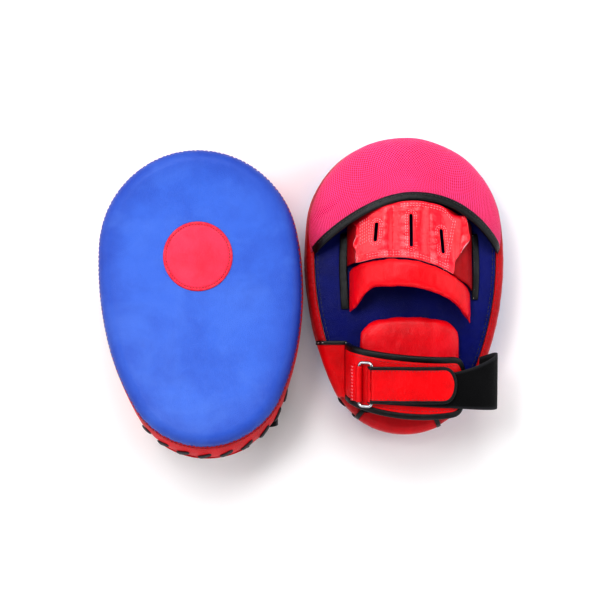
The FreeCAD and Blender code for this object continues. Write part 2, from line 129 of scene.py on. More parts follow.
lens = bpy.data.cameras.new("camera")
lens.lens = 82.2
lens.sensor_width = 36.0
scene.camera = aimed(put("camera", lens), (-0.0031, -0.0741, 1.388), (-0.0031, -0.0034, 0.040))


# ---- where the two mitts lie ----
# The mitts are a mirrored pair, so each piece is made once, in the mitt's own frame: X to its
# right, Y toward the fingertips, Z from the striking face toward the hand.  The hinges of the
# closure say where each mitt lies: the right one face down, the left one face up.

MM = 0.001
ring_hinge = Vector((-46.4870, -97.0111, 86.8760)) * MM
tail_hinge = Vector((-35.1001, -97.7645, 93.1026)) * MM
hinge_line = Vector((0.0, -0.992761, -0.120104))
hinges = {joint["name"]: joint for joint in frame["joints"]}
SIDES = ("right", "left")


def place_of(side):
    """Matrix from a mitt's own frame to the frame of the pair."""
    ring_at = Vector(hinges[side + "_ring_swing"]["pos_m"])
    tail_at = Vector(hinges[side + "_tail_peel"]["pos_m"])
    line = Vector(hinges[side + "_ring_swing"]["axis"])
    mirror = 1.0 if side == "right" else -1.0
    own = [(tail_hinge - ring_hinge).normalized(), hinge_line]
    there = [(tail_at - ring_at).normalized(), line * mirror]
    own.append(own[0].cross(own[1]))
    there.append(there[0].cross(there[1]) * mirror)
    turn = Matrix(there).transposed() @ Matrix(own)
    return Matrix.Translation(ring_at - turn @ ring_hinge) @ turn.to_4x4()


places = {side: place_of(side) for side in SIDES}


def finish_piece(shape, side, name, nodes, body, smooth):
    """A copy of a shape laid down on one mitt, riding its body and standing for its nodes."""
    mesh = shape.data.copy()
    mesh.transform(places[side])
    if side == "left":
        mesh.flip_normals()
    piece = put(side + "_" + name, mesh)
    mesh.name = piece.name
    if smooth:
        mesh.shade_smooth()
    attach(piece, side + "_" + body)
    if nodes:
        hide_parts(*[side + "_" + node for node in nodes])
    return piece


def lay_down(shape, name, slot, nodes=(), body="mitt", fill=None, cloth=None, smooth=True, sides=SIDES):
    """A shape's copies on both mitts, or one; fill and cloth are not used."""
    for side in sides:
        piece = finish_piece(shape, side, name, nodes, body, smooth)
    bpy.data.objects.remove(shape)


# ---- striking face ----
# A large egg-shaped panel of smooth blue synthetic leather over foam.  It is hollowed a little
# along its length, rolls over a round edge and is sewn to the side leather, where it puckers.

mitt_depth = 51.0
bow_radius = 715.0
seam_depth = 15.0
side_end = 44.0                         # depth where the side turns over into the back
heel_draw, heel_slope_end = 9.5, 40.0
crown_arc = (0.0, 50.4, 94.6)           # centre x, centre y, radius
heel_arc = (0.0, -70.0, 75.0)
flank_arc = (-209.554, 26.137, 305.554)
crown_turn = math.atan2(crown_arc[1] - flank_arc[1], -flank_arc[0])
heel_turn = math.atan2(heel_arc[1] - flank_arc[1], -flank_arc[0])
AROUND = 264


def arc_at(turn):
    """Arc of the outline whose outward direction is turn, from the right side's."""
    if crown_turn < turn < math.pi - crown_turn:
        return crown_arc
    if turn < heel_turn or turn > math.pi - heel_turn:
        return heel_arc
    return flank_arc if turn < math.pi / 2 else (-flank_arc[0], flank_arc[1], flank_arc[2])


def outline_turns(count):
    """Directions at even steps of length round the outline, from the middle of the heel."""
    fine = np.linspace(-math.pi / 2, 1.5 * math.pi, 4001)
    radii = np.array([arc_at(t)[2] for t in (fine[1:] + fine[:-1]) / 2])
    run = np.concatenate([[0.0], np.cumsum(radii * np.diff(fine))])
    return np.interp(np.linspace(0, run[-1], count + 1)[:-1], run, fine)


turns = outline_turns(AROUND)


def outline(grow, which=turns):
    """Points of the outline grown by a distance, in millimetres."""
    points = []
    for turn in which:
        x, y, radius = arc_at(turn)
        points.append((x + (radius + grow) * math.cos(turn), y + (radius + grow) * math.sin(turn)))
    return np.array(points)


def bowed(y, depth):
    """Height of the surface at a depth below the striking face, which is bowed."""
    return np.sqrt((bow_radius + depth) ** 2 - np.asarray(y) ** 2) - bow_radius


def drawn_in(flat, depth):
    """The same points with the heel drawn in toward the face, which makes its side slope."""
    near_heel = np.clip((-25.0 - flat[:, 1]) / 120.0, 0.0, 1.0)
    near_face = min(1.0, max(0.0, (heel_slope_end - depth) / (heel_slope_end - seam_depth)))
    flat[:, 1] += heel_draw * near_heel ** 2 * (3 - 2 * near_heel) * near_face
    return flat


def ring_of(grow, depth, which=turns):
    flat = drawn_in(outline(grow, which), depth)
    return np.column_stack([flat, bowed(flat[:, 1], depth)])


def inner_ring(grow, depth, share):
    flat = drawn_in(outline(grow) * share, depth)
    return np.column_stack([flat, bowed(flat[:, 1], depth)])


def surface(name, rows, closed=False, caps="", scuffs_and_painted_light=None, flip=False):
    """Shape through rows of points; closed joins each row's ends, and caps names the first or
    last row to fill.  It carries a map in metres of surface and a row by row mask that places scuffs and
    paints shade and highlight."""
    rows = np.array(rows) * MM
    high, wide = rows.shape[:2]
    shape = bpy.data.meshes.new(name)
    spans = wide if closed else wide - 1
    faces = []
    for i in range(high - 1):
        for j in range(spans):
            k = (j + 1) % wide
            faces.append((i * wide + j, i * wide + k, (i + 1) * wide + k, (i + 1) * wide + j))
    if "first" in caps:
        faces.append(tuple(reversed(range(wide))))
    if "last" in caps:
        faces.append(tuple(range((high - 1) * wide, high * wide)))
    shape.from_pydata(rows.reshape(-1, 3).tolist(), [], faces)
    across = np.linalg.norm(np.diff(np.concatenate([rows, rows[:, :1]], 1), axis=1), axis=2)
    along = np.linalg.norm(np.diff(rows, axis=0), axis=2)
    u = np.concatenate([[0.0], np.cumsum(across.mean(0))])
    v = np.concatenate([[0.0], np.cumsum(along.mean(1))])
    chart = shape.uv_layers.new(name="cloth")
    coords = np.zeros((len(shape.loops), 2))
    at = 0
    for i in range(high - 1):
        for j in range(spans):
            coords[at:at + 4] = ((u[j], v[i]), (u[j + 1], v[i]), (u[j + 1], v[i + 1]), (u[j], v[i + 1]))
            at += 4
    chart.data.foreach_set("uv", coords.ravel())
    amount = shape.attributes.new("scuffs_and_painted_light", "FLOAT", "POINT")
    each = np.zeros(high) if scuffs_and_painted_light is None else np.array(scuffs_and_painted_light, float)
    amount.data.foreach_set("value", np.repeat(each, wide).astype(np.float32))
    if flip:
        shape.flip_normals()
    return put(name, shape)


def worked_mesh(shape):
    """The mesh of a shape with its modifiers worked in."""
    return bpy.data.meshes.new_from_object(shape.evaluated_get(bpy.context.evaluated_depsgraph_get()))


def with_modifiers(shape, *steps):
    """The same shape with modifiers worked in; each step is a type and its settings."""
    for kind, settings in steps:
        modifier = shape.modifiers.new(kind, kind)
        for key, value in settings.items():
            setattr(modifier, key, value)
    solid = worked_mesh(shape)
    shape.modifiers.clear()
    shape.data = solid
    return shape


def with_nodes(shape, group, values):
    """The same shape with a node group worked in; values are the group's inputs, by name."""
    step = shape.modifiers.new(group.name, "NODES")
    step.node_group = group
    for socket in group.interface.items_tree:
        if socket.item_type == "SOCKET" and socket.in_out == "INPUT" and socket.name in values:
            step[socket.identifier] = values[socket.name]
    solid = worked_mesh(shape)
    shape.modifiers.clear()
    shape.data = solid
    return shape


def joined(shapes):
    """The first shape, with the others joined into it."""
    with bpy.context.temp_override(active_object=shapes[0], selected_editable_objects=shapes):
        bpy.ops.object.join()
    return shapes[0]


def outward(shape):
    """Merges doubled points and turns every face of a closed shape outward."""
    work = bmesh.new()
    work.from_mesh(shape.data)
    bmesh.ops.remove_doubles(work, verts=work.verts, dist=1e-6)
    bmesh.ops.recalc_face_normals(work, faces=work.faces)
    work.to_mesh(shape.data)
    work.free()
    return shape


def skin_thickness(shape, thickness, offset=-1.0, rim_material=None):
    settings = {"thickness": thickness * MM, "offset": offset, "use_even_offset": False}
    if rim_material is not None:
        settings["material_offset_rim"] = rim_material
    return with_modifiers(shape, ("SOLIDIFY", settings))


def node_group(name, numbers, outputs):
    """Empty shader group with number inputs, and outputs of the kinds given."""
    tree = bpy.data.node_groups.new(name, "ShaderNodeTree")
    for label, value in numbers.items():
        socket = tree.interface.new_socket(label, in_out="INPUT", socket_type="NodeSocketFloat")
        socket.default_value = value
    for label, kind in outputs.items():
        tree.interface.new_socket(label, in_out="OUTPUT", socket_type=kind)
    return tree, tree.nodes.new("NodeGroupInput"), tree.nodes.new("NodeGroupOutput")


def add_node(tree, kind, values=None, **settings):
    """A new node; values are for its sockets, by name or place, and settings for itself."""
    node = tree.nodes.new(kind)
    for key, value in settings.items():
        setattr(node, key, value)
    for key, value in (values or {}).items():
        node.inputs[key].default_value = value
    return node


def texture(tree, place, kind, values=None, **settings):
    """A texture node whose pattern is laid out by a place, which is a socket."""
    node = add_node(tree, "ShaderNodeTex" + kind, values, **settings)
    tree.links.new(place, node.inputs["Vector"])
    return node


def in_object(tree):
    """Socket of the places on a piece, in the piece's own space."""
    return add_node(tree, "ShaderNodeTexCoord").outputs["Object"]


def bumped(tree, shader, height, distance):
    """Raises the shader's surface by a height socket."""
    bump = add_node(tree, "ShaderNodeBump", {"Distance": distance})
    tree.links.new(height, bump.inputs["Height"])
    tree.links.new(bump.outputs[0], shader.inputs["Normal"])


def math_node(tree, operation, first, second):
    node = add_node(tree, "ShaderNodeMath", operation=operation)
    for socket, value in zip(node.inputs, (first, second)):
        if isinstance(value, (int, float)):
            socket.default_value = value
        else:
            tree.links.new(value, socket)
    return node.outputs[0]


def leather_grain_group():
    """Fine pebbled cells with creases between them, and slow waves of tone."""
    tree, given, result = node_group("leather grain", {"Cells per metre": 900.0, "Pebble": 1.0},
                                     {"Height": "NodeSocketFloat", "Tone": "NodeSocketFloat"})
    place = in_object(tree)
    warp = texture(tree, place, "Noise", {"Scale": 160.0, "Detail": 2.0})
    shift = add_node(tree, "ShaderNodeVectorMath", {1: (0.0015, 0.0015, 0.0015)}, operation="MULTIPLY_ADD")
    cells = texture(tree, shift.outputs[0], "Voronoi", feature="DISTANCE_TO_EDGE")
    fine = texture(tree, place, "Noise", {"Scale": 2600.0, "Detail": 3.0})
    slow = texture(tree, place, "Noise", {"Scale": 26.0, "Detail": 5.0, "Roughness": 0.62})
    link = tree.links.new
    link(warp.outputs["Color"], shift.inputs[0])
    link(place, shift.inputs[2])
    link(given.outputs["Cells per metre"], cells.inputs["Scale"])
    crown = math_node(tree, "MINIMUM", math_node(tree, "MULTIPLY", cells.outputs["Distance"], 3.2), 1.0)
    pebble = math_node(tree, "MULTIPLY", crown, given.outputs["Pebble"])
    height = math_node(tree, "ADD", pebble, math_node(tree, "MULTIPLY", fine.outputs["Fac"], 0.35))
    link(height, result.inputs["Height"])
    link(slow.outputs["Fac"], result.inputs["Tone"])
    return tree


def handling_group():
    """Marks of use: pale cloudy smudges, and small scuffs where the mask of scuffs and painted light is
    high.
    """
    tree, given, result = node_group("handling marks", {"Smudge size": 14.0, "Seed": 0.0},
                                     {"Smudge": "NodeSocketFloat", "Scuff": "NodeSocketFloat"})
    moved = add_node(tree, "ShaderNodeVectorMath", operation="ADD")
    seed = add_node(tree, "ShaderNodeCombineXYZ")
    cloud = texture(tree, moved.outputs[0], "Noise", {"Detail": 6.0, "Roughness": 0.58, "Distortion": 0.6})
    scratch = texture(tree, moved.outputs[0], "Noise", {"Scale": 260.0, "Detail": 4.0})
    scuffs_and_painted_light = add_node(tree, "ShaderNodeAttribute", attribute_name="scuffs_and_painted_light")
    soft = add_node(tree, "ShaderNodeMapRange", {"From Min": 0.50, "From Max": 0.78})
    link = tree.links.new
    link(given.outputs["Seed"], seed.inputs["X"])
    link(in_object(tree), moved.inputs[0])
    link(seed.outputs[0], moved.inputs[1])
    link(given.outputs["Smudge size"], cloud.inputs["Scale"])
    link(cloud.outputs["Fac"], soft.inputs["Value"])
    link(soft.outputs[0], result.inputs["Smudge"])
    bare = add_node(tree, "ShaderNodeMapRange", {"From Min": 0.42, "From Max": 0.75})
    link(scratch.outputs["Fac"], bare.inputs["Value"])
    link(math_node(tree, "MULTIPLY", scuffs_and_painted_light.outputs["Fac"], bare.outputs[0]), result.inputs["Scuff"])
    return tree


leather_grain = leather_grain_group()
handling_marks = handling_group()


def blended(tree, amount, first, second):
    """Colour between two; amount is a socket, and either colour may be a socket."""
    mix = add_node(tree, "ShaderNodeMix", data_type="RGBA", clamp_factor=True)
    tree.links.new(amount, mix.inputs[0])
    for socket, value in ((mix.inputs[6], first), (mix.inputs[7], second)):
        if isinstance(value, tuple):
            socket.default_value = (*value, 1.0)
        else:
            tree.links.new(value, socket)
    return mix.outputs[2]


def leather(name, colour, light, dark, gloss, coat, smudge, cells=900.0, relief=0.00012, seed=0.0,
            shine=0.28, scuff=0.35, blotch=1.0):
    """Synthetic leather: grain, slow tone, pale smudges, and, where the mask is high, scuffs and a painted
    shade that darkens edges and seams.
    """
    material, tree, shader = new_material(name)
    grain = add_node(tree, "ShaderNodeGroup", {"Cells per metre": cells}, node_tree=leather_grain)
    marks = add_node(tree, "ShaderNodeGroup", {"Seed": seed}, node_tree=handling_marks)
    tone = add_node(tree, "ShaderNodeMapRange", {"From Min": 0.60 - 0.55 / blotch, "From Max": 0.60})
    tree.links.new(grain.outputs["Tone"], tone.inputs["Value"])
    base = blended(tree, tone.outputs[0], dark, colour)
    scuffs_and_light_mask = add_node(tree, "ShaderNodeAttribute", attribute_name="scuffs_and_painted_light")
    # painted shade: the mask darkens the leather toward its dark colour at edges and seams
    base = blended(tree, math_node(tree, "MULTIPLY", scuffs_and_light_mask.outputs["Fac"], 0.75), base, dark)
    base = blended(tree, math_node(tree, "MULTIPLY", marks.outputs["Smudge"], smudge), base, light)
    base = blended(tree, math_node(tree, "MULTIPLY", marks.outputs["Scuff"], scuff), base, light)
    tree.links.new(base, shader.inputs["Base Color"])
    rough = math_node(tree, "MULTIPLY_ADD", marks.outputs["Smudge"], 0.16)
    rough.node.inputs[2].default_value = gloss
    tree.links.new(rough, shader.inputs["Roughness"])
    bumped(tree, shader, grain.outputs["Height"], relief)
    set_inputs(shader, Coat_Weight=coat, Coat_Roughness=0.28, Specular_IOR_Level=shine)
    return material


blue_leather = leather("blue face leather", (0.055, 0.160, 0.62), (0.15, 0.29, 0.74), (0.004, 0.022, 0.30),
                       gloss=0.42, coat=0.08, cells=780.0, smudge=0.36, shine=0.26, scuff=0.06, blotch=0.45)

edge_round = 13.0
back_round = 7.0
side_bulge = 1.7


def side_grow(depth):
    """How far the side stands out past the outline: it swells between its two seams."""
    part = min(1.0, max(0.0, (depth - seam_depth) / (side_end - seam_depth)))
    swell = side_bulge * math.sin(math.pi * part)
    return swell - 0.9 * math.exp(-((depth - seam_depth) / 1.3) ** 2)


face_rows = []
# the mask rises toward the rounded edge: painted shade that darkens the blue where the face turns away from
# the light, with faint scuffs
face_shade_and_scuffs = []
for share in np.linspace(0.015, 1.0, 24):
    face_rows.append(inner_ring(-edge_round, 0.0, share))
    face_shade_and_scuffs.append(max(0.0, (share - 0.72) / 0.28) ** 2 * 0.35)
for step in np.linspace(0, math.pi / 2, 10)[1:]:
    face_rows.append(ring_of(-edge_round + edge_round * math.sin(step), edge_round * (1 - math.cos(step))))
    face_shade_and_scuffs.append(0.35 + 0.65 * math.sin(step) ** 2)
for depth in (13.6, 14.2, 14.7):
    face_rows.append(ring_of(side_grow(depth), depth))
    face_shade_and_scuffs.append(1.0)
face_rows.append(ring_of(-1.8, 14.95))
face_shade_and_scuffs.append(1.0)
for row, share in zip(face_rows, face_shade_and_scuffs):
    for j, point in enumerate(row):
        # foam never lies quite even: slow swells on the face, puckers toward the seam
        slow = noise.noise(Vector((point[0] / 52, point[1] / 52, 3.0))) * 0.55
        pucker = 0.16 * math.sin(j * 2 * math.pi * 62 / AROUND) * share ** 4
        row[j] = (point[0] * (1 + pucker / 90), point[1] * (1 + pucker / 90), point[2] + slow * (1 - share))
face = surface("strike_face_leather", face_rows, closed=True, caps="first", scuffs_and_painted_light=face_shade_and_scuffs)
face.data.materials.append(blue_leather)
lay_down(skin_thickness(face, 1.4), "strike_face_leather", "face_leather", ["strike_face"], fill=0.8)


# ---- side leather ----
# One long strip of red synthetic leather makes the side.  It is sewn to the face's edge, swells
# over the foam and turns over the round back edge, where the back panel is let in.

red_leather = leather("red side leather", (0.66, 0.0015, 0.012), (0.86, 0.05, 0.08), (0.26, 0.0, 0.002),
                      gloss=0.38, coat=0.06, cells=820.0, smudge=0.10, seed=3.0, shine=0.18)
back_border = 8.0

side_rows = [ring_of(-2.0, 15.15), ring_of(side_grow(15.4), 15.4)]
# the mask is high at both seams, painted shade in their grooves, and over the round back edge, where it
# darkens and scuffs as real wear
side_shade_and_scuffs = [1.0, 0.9]
for depth in np.linspace(16.0, side_end, 16):
    side_rows.append(ring_of(side_grow(depth), depth))
    side_shade_and_scuffs.append(0.55 * abs((depth - 30.0) / 14.0) ** 3)
for step in np.linspace(0, math.pi / 2, 8)[1:]:
    side_rows.append(ring_of(back_round * (math.cos(step) - 1), side_end + back_round * math.sin(step)))
    side_shade_and_scuffs.append(0.35 + 0.4 * math.sin(step * 2))
side_rows.append(ring_of(-back_border + 0.5, mitt_depth - 0.15))
side_rows.append(ring_of(-back_border + 0.05, mitt_depth - 0.8))
side_rows.append(ring_of(-back_border - 0.1, mitt_depth - 1.8))
side_shade_and_scuffs += [0.8, 1.0, 1.0]
for k, row in enumerate(side_rows[2:18]):
    for j, point in enumerate(row):
        # the strip is eased round the ends, so it ripples a little along both seams
        near_seam = abs(k - 7.5) / 7.5
        ripple = 0.30 * near_seam ** 2 * math.sin(j * 2 * math.pi * 48 / AROUND)
        slow = 0.5 * noise.noise(Vector((point[0] / 30, point[1] / 30, k / 9)))
        grow = 1 + (ripple + slow) / max(60.0, math.hypot(point[0], point[1]))
        row[j] = (point[0] * grow, point[1] * grow, point[2])
side = surface("side_leather", side_rows, closed=True, scuffs_and_painted_light=side_shade_and_scuffs)
side.data.materials.append(red_leather)
lay_down(skin_thickness(side, 1.4), "side_leather", "side_leather", ["gusset"], fill=0.7)


# ---- back panel ----
# Navy synthetic leather let into the side leather over the hand side.  Everything on the hand
# side is sewn to it, and it draws in a little at its own seam.

navy_leather = leather("navy back leather", (0.001, 0.006, 0.175), (0.025, 0.06, 0.42), (0.0, 0.001, 0.060),
                       gloss=0.30, coat=0.05, cells=760.0, smudge=0.16, seed=7.0, shine=0.18)
back_rows = []
# the mask is high at the panel's rim: painted shade darkening the navy along its seam, with scuffs
back_shade_and_scuffs = []
for grow, depth, amount in ((-8.4, 49.3, 1.0), (-8.45, 50.2, 1.0), (-8.8, 50.75, 0.9), (-9.6, 50.98, 0.6)):
    back_rows.append(ring_of(grow, depth))
    back_shade_and_scuffs.append(amount)
for share in np.linspace(1.0, 0.015, 26):
    row = inner_ring(-10.4, mitt_depth, share)
    swell = [noise.noise(Vector((x / 26, y / 26, 9.0))) for x, y, _ in row]
    row[:, 2] += np.minimum(0.2, np.array(swell) * 0.45 * min(1.0, (1.0 - share) * 9))
    back_rows.append(row)
    back_shade_and_scuffs.append(0.45 * max(0.0, (share - 0.8) / 0.2) ** 2)
panel = surface("back_panel_leather", back_rows, closed=True, caps="last", scuffs_and_painted_light=back_shade_and_scuffs)
panel.data.materials.append(navy_leather)
lay_down(skin_thickness(panel, 1.2), "back_panel_leather", "back_leather", ["back_panel"], fill=0.5)


# ---- foam cores ----
# Two layers of closed-cell foam fill the body: a dense striking layer and a softer one behind.
# They are shut in by the leather, and keep the shape that they are cut to.

def foam_finish(name, colour, cell):
    material, tree, shader = new_material(name)
    pores = texture(tree, in_object(tree), "Voronoi", {"Scale": cell})
    slow = texture(tree, in_object(tree), "Noise", {"Scale": 18.0})
    dark = tuple(c * 0.7 for c in colour)
    tree.links.new(blended(tree, slow.outputs["Fac"], colour, dark), shader.inputs["Base Color"])
    bumped(tree, shader, pores.outputs["Distance"], 0.0003)
    shader.inputs["Roughness"].default_value = 0.9
    return material


core_skin = 1.75


def core_block(name, top, low):
    """Block of foam between two depths, cut back from the leather all round."""
    rows = []
    if top < edge_round:
        for share in np.linspace(0.02, 1.0, 10):
            rows.append(inner_ring(-edge_round, top, share))
        for step in np.linspace(0, math.pi / 2, 8)[1:]:
            turn_in = edge_round - core_skin
            rows.append(ring_of(-edge_round + turn_in * math.sin(step),
                                top + turn_in * (1 - math.cos(step))))
    else:
        for share in np.linspace(0.02, 1.0, 10):
            rows.append(inner_ring(-core_skin - 1.4, top, share))
    flank_end = min(low, mitt_depth - back_round)
    for depth in np.linspace(max(top + 0.4, seam_depth), flank_end, 7):
        rows.append(ring_of(-core_skin - 1.0 * math.exp(-((depth - seam_depth) / 2.0) ** 2), depth))
    if low > flank_end:
        for step in np.linspace(0, math.pi / 2, 6)[1:]:
            rows.append(ring_of(-core_skin - (back_round - core_skin) * (1 - math.cos(step)),
                                flank_end + (low - flank_end) * math.sin(step)))
    for share in np.linspace(0.96, 0.02, 10):
        rows.append(inner_ring(-back_round if low > flank_end else -core_skin, low, share))
    return outward(surface(name, rows, closed=True, caps="first last"))


core_split = 22.25
for name, node, top, low, colour, cell in (
        ("dense_foam_core", "foam_core_front", core_skin, core_split, (0.055, 0.055, 0.06), 900.0),
        ("soft_foam_core", "foam_core_rear", core_split + 0.1, mitt_depth - 2.4, (0.62, 0.60, 0.52), 620.0)):
    core = core_block(name, top, low)
    core.data.materials.append(foam_finish(name.replace("_", " "), colour, cell))
    lay_down(core, name, "foam", [node], fill=1.0)


# ---- thread ----
# Every seam is sewn with bonded thread in short, even lockstitches.  A run of stitches follows
# a line on the leather: each stitch is a small bead of thread that sinks in at its two ends.

def thread_finish(name, colour):
    material, tree, shader = new_material(name)
    ply = texture(tree, in_object(tree), "Wave", {"Scale": 900.0, "Distortion": 1.5},
                  bands_direction="DIAGONAL")
    bumped(tree, shader, ply.outputs["Fac"], 0.0001)
    shade = tuple(c * 0.62 for c in colour)
    tree.links.new(blended(tree, ply.outputs["Fac"], shade, colour), shader.inputs["Base Color"])
    set_inputs(shader, Roughness=0.55, Sheen_Weight=0.3)
    return material


white_thread = thread_finish("white thread", (0.86, 0.80, 0.80))
red_thread = thread_finish("red thread", (0.46, 0.006, 0.02))
rose_thread = thread_finish("rose thread", (0.95, 0.42, 0.50))
black_thread = thread_finish("black thread", (0.018, 0.018, 0.022))
blue_thread = thread_finish("blue thread", (0.05, 0.09, 0.50))


def shape_group(name, source, numbers, stuff, made):
    """Empty geometry group: a source shape, numbers and a material go in, and a shape out."""
    tree = bpy.data.node_groups.new(name, "GeometryNodeTree")
    tree.interface.new_socket(source, in_out="INPUT", socket_type="NodeSocketGeometry")
    for label, value in numbers.items():
        socket = tree.interface.new_socket(label, in_out="INPUT", socket_type="NodeSocketFloat")
        socket.default_value = value
    tree.interface.new_socket(stuff, in_out="INPUT", socket_type="NodeSocketMaterial")
    tree.interface.new_socket(made, in_out="OUTPUT", socket_type="NodeSocketGeometry")
    return tree, tree.nodes.new("NodeGroupInput"), tree.nodes.new("NodeGroupOutput")


def stitch_nodes():
    """Line to stitches: beads at an even pitch, each turned along the line."""
    tree, given, result = shape_group("sewn run", "Line", {"Pitch": 0.0032, "Stitch length": 0.0026,
                                                           "Thread radius": 0.0004}, "Thread", "Stitches")
    link = tree.links.new
    curve = add_node(tree, "GeometryNodeMeshToCurve")
    spread = add_node(tree, "GeometryNodeCurveToPoints", mode="LENGTH")
    bead = add_node(tree, "GeometryNodeMeshUVSphere", {"Segments": 6, "Rings": 4, "Radius": 1.0})
    along = add_node(tree, "FunctionNodeAlignRotationToVector", axis="X")
    size = add_node(tree, "ShaderNodeCombineXYZ")
    half = add_node(tree, "ShaderNodeMath", {1: 0.5}, operation="MULTIPLY")
    lay = add_node(tree, "GeometryNodeInstanceOnPoints")
    real = add_node(tree, "GeometryNodeRealizeInstances")
    colour = add_node(tree, "GeometryNodeSetMaterial")
    link(given.outputs["Line"], curve.inputs["Mesh"])
    link(curve.outputs["Curve"], spread.inputs["Curve"])
    link(given.outputs["Pitch"], spread.inputs["Length"])
    link(spread.outputs["Points"], lay.inputs["Points"])
    link(spread.outputs["Tangent"], along.inputs["Vector"])
    link(along.outputs["Rotation"], lay.inputs["Rotation"])
    link(bead.outputs["Mesh"], lay.inputs["Instance"])
    link(given.outputs["Stitch length"], half.inputs[0])
    link(half.outputs[0], size.inputs["X"])
    link(given.outputs["Thread radius"], size.inputs["Y"])
    link(given.outputs["Thread radius"], size.inputs["Z"])
    link(size.outputs[0], lay.inputs["Scale"])
    link(lay.outputs["Instances"], real.inputs["Geometry"])
    link(real.outputs["Geometry"], colour.inputs["Geometry"])
    link(given.outputs["Thread"], colour.inputs["Material"])
    link(colour.outputs["Geometry"], result.inputs["Stitches"])
    return tree


stitches = stitch_nodes()


def sewn(name, runs, thread, slot, pitch, length, radius, closed=False, **where):
    """Lays down stitches along runs of points, in millimetres."""
    points, edges = [], []
    for run in runs:
        first = len(points)
        points += [tuple(p) for p in np.array(run) * MM]
        edges += [(i, i + 1) for i in range(first, len(points) - 1)]
        if closed:
            edges.append((len(points) - 1, first))
    line = bpy.data.meshes.new(name)
    line.from_pydata(points, edges, [])
    sizes = {"Pitch": pitch * MM, "Stitch length": length * MM, "Thread radius": radius * MM}
    lay_down(with_nodes(put(name, line), stitches, {**sizes, "Thread": thread}), name, slot, **where)


side_seam = 18.0
for label, grow, depth, thread, slot in (
        ("face_seam_stitches", 0.25, 12.0, blue_thread, "face_leather"),
        ("side_seam_stitches", 0.35 + side_grow(side_seam), side_seam, red_thread, "side_leather"),
        ("back_seam_stitches", -5.6, 51.1, red_thread, "side_leather"),
        ("back_panel_stitches", -11.2, 51.2, black_thread, "back_leather")):
    sewn(label, [ring_of(grow, depth)], thread, slot, 4.2, 3.3, 0.38, closed=True)


# ---- target disc ----
# A round patch of brighter red leather, thinly padded, sewn to the upper face.  Its cut edge is
# turned under, and the line of stitches draws a shallow groove just inside it.

disc_leather = leather("target leather", (0.92, 0.055, 0.120), (1.0, 0.30, 0.40), (0.60, 0.008, 0.030),
                       gloss=0.40, coat=0.06, cells=840.0, smudge=0.14, seed=11.0, shine=0.22)
disc_radius, disc_y, disc_lift = 33.0, 43.5, 1.3
stitch_in = 2.9
disc_rows = []
# the mask rises toward the turned-under rim: painted shade darkening the disc's edge, with scuffs
disc_shade_and_scuffs = []


def disc_ring(reach, lift):
    """Points round the disc's middle, lifted off the face."""
    around = np.linspace(0, 2 * math.pi, 145)[:-1]
    x, y = reach * np.cos(around), disc_y + reach * np.sin(around)
    return np.column_stack([x, y, bowed(y, -lift)])


for reach in np.concatenate([np.linspace(0.6, 27.0, 16), np.linspace(28.0, 32.4, 12)]):
    groove = 0.55 * math.exp(-((reach - disc_radius + stitch_in) / 0.75) ** 2)
    lift = disc_lift - groove - 0.9 * max(0.0, (reach - 31.3) / 1.7) ** 2
    disc_rows.append(disc_ring(reach, lift + 0.35 * (1 - (reach / disc_radius) ** 2)))
    disc_shade_and_scuffs.append(max(0.0, (reach - 29.0) / 4.0))
for reach, lift in ((32.9, 0.45), (33.0, 0.1), (32.6, -0.3)):
    disc_rows.append(disc_ring(reach, lift))
    disc_shade_and_scuffs.append(1.0)
disc = surface("target_disc", disc_rows, closed=True, caps="first", scuffs_and_painted_light=disc_shade_and_scuffs)
disc.data.materials.append(disc_leather)
lay_down(disc, "target_disc", "patch_leather", ["target_patch"], fill=0.3)

disc_seam = disc_ring(disc_radius - stitch_in, disc_lift - 0.35)
sewn("disc_stitches", [disc_seam], red_thread, "patch_leather", 3.0, 2.2, 0.4, closed=True)


# ---- edge lacing ----
# Nine short slanted stitches of flat black waxed cord close the heel's side after the foam is
# in.  Each lies on the red leather and dips into its two holes.

def cord_finish():
    material, tree, shader = new_material("waxed cord")
    strands = texture(tree, in_object(tree), "Wave", {"Scale": 420.0, "Distortion": 3.0, "Detail": 2.0},
                      bands_direction="DIAGONAL")
    bumped(tree, shader, strands.outputs["Fac"], 0.00025)
    tone = blended(tree, strands.outputs["Fac"], (0.004, 0.004, 0.006), (0.022, 0.022, 0.028))
    tree.links.new(tone, shader.inputs["Base Color"])
    shader.inputs["Roughness"].default_value = 0.42
    return material


def lace_stitch(angle):
    """Rows of points over one stitch, from end to end along its slant."""
    rows = []
    slant = math.radians(32.0)
    for share in np.linspace(-1, 1, 17):
        along = 7.6 * share
        fat = (1 - abs(share) ** 5) ** 0.5 if abs(share) < 1 else 0.05
        row = []
        for turn in np.linspace(0, 2 * math.pi, 13)[:-1]:
            across = 2.5 * fat * np.sign(math.cos(turn)) * abs(math.cos(turn)) ** 0.7
            lift = 0.95 + 0.95 * fat * math.sin(turn) - 0.7 * share ** 4
            run = along * math.cos(slant) - across * math.sin(slant)
            up = along * -math.sin(slant) + across * -math.cos(slant)
            turned = angle + run / heel_arc[2]
            reach = heel_arc[2] + side_grow(33.5) + lift
            flat = np.array([[reach * math.cos(turned), heel_arc[1] + reach * math.sin(turned)]])
            x, y = drawn_in(flat, 33.5 + up)[0]
            row.append((x, y, bowed(heel_arc[1] + heel_arc[2] * math.sin(angle), mitt_depth) - 17.5 + up))
        rows.append(row)
    return rows


waxed_cord = cord_finish()
laces = []
for i in range(9):
    lace = surface("lace", lace_stitch(math.radians(-142.0 + 15.6 * i)), closed=True, caps="first last")
    laces.append(outward(lace))
lacing = joined(laces)
lacing.data.materials.append(waxed_cord)
lay_down(lacing, "heel_lacing", "waxed_cord", ["edge_lacing"])


# ---- mesh hood ----
# A padded dome of fine pink-red sports mesh over foam covers the fingertips.  Its round edge is
# caught under the side leather, its mouth faces the wrist, and it creases near its left end.

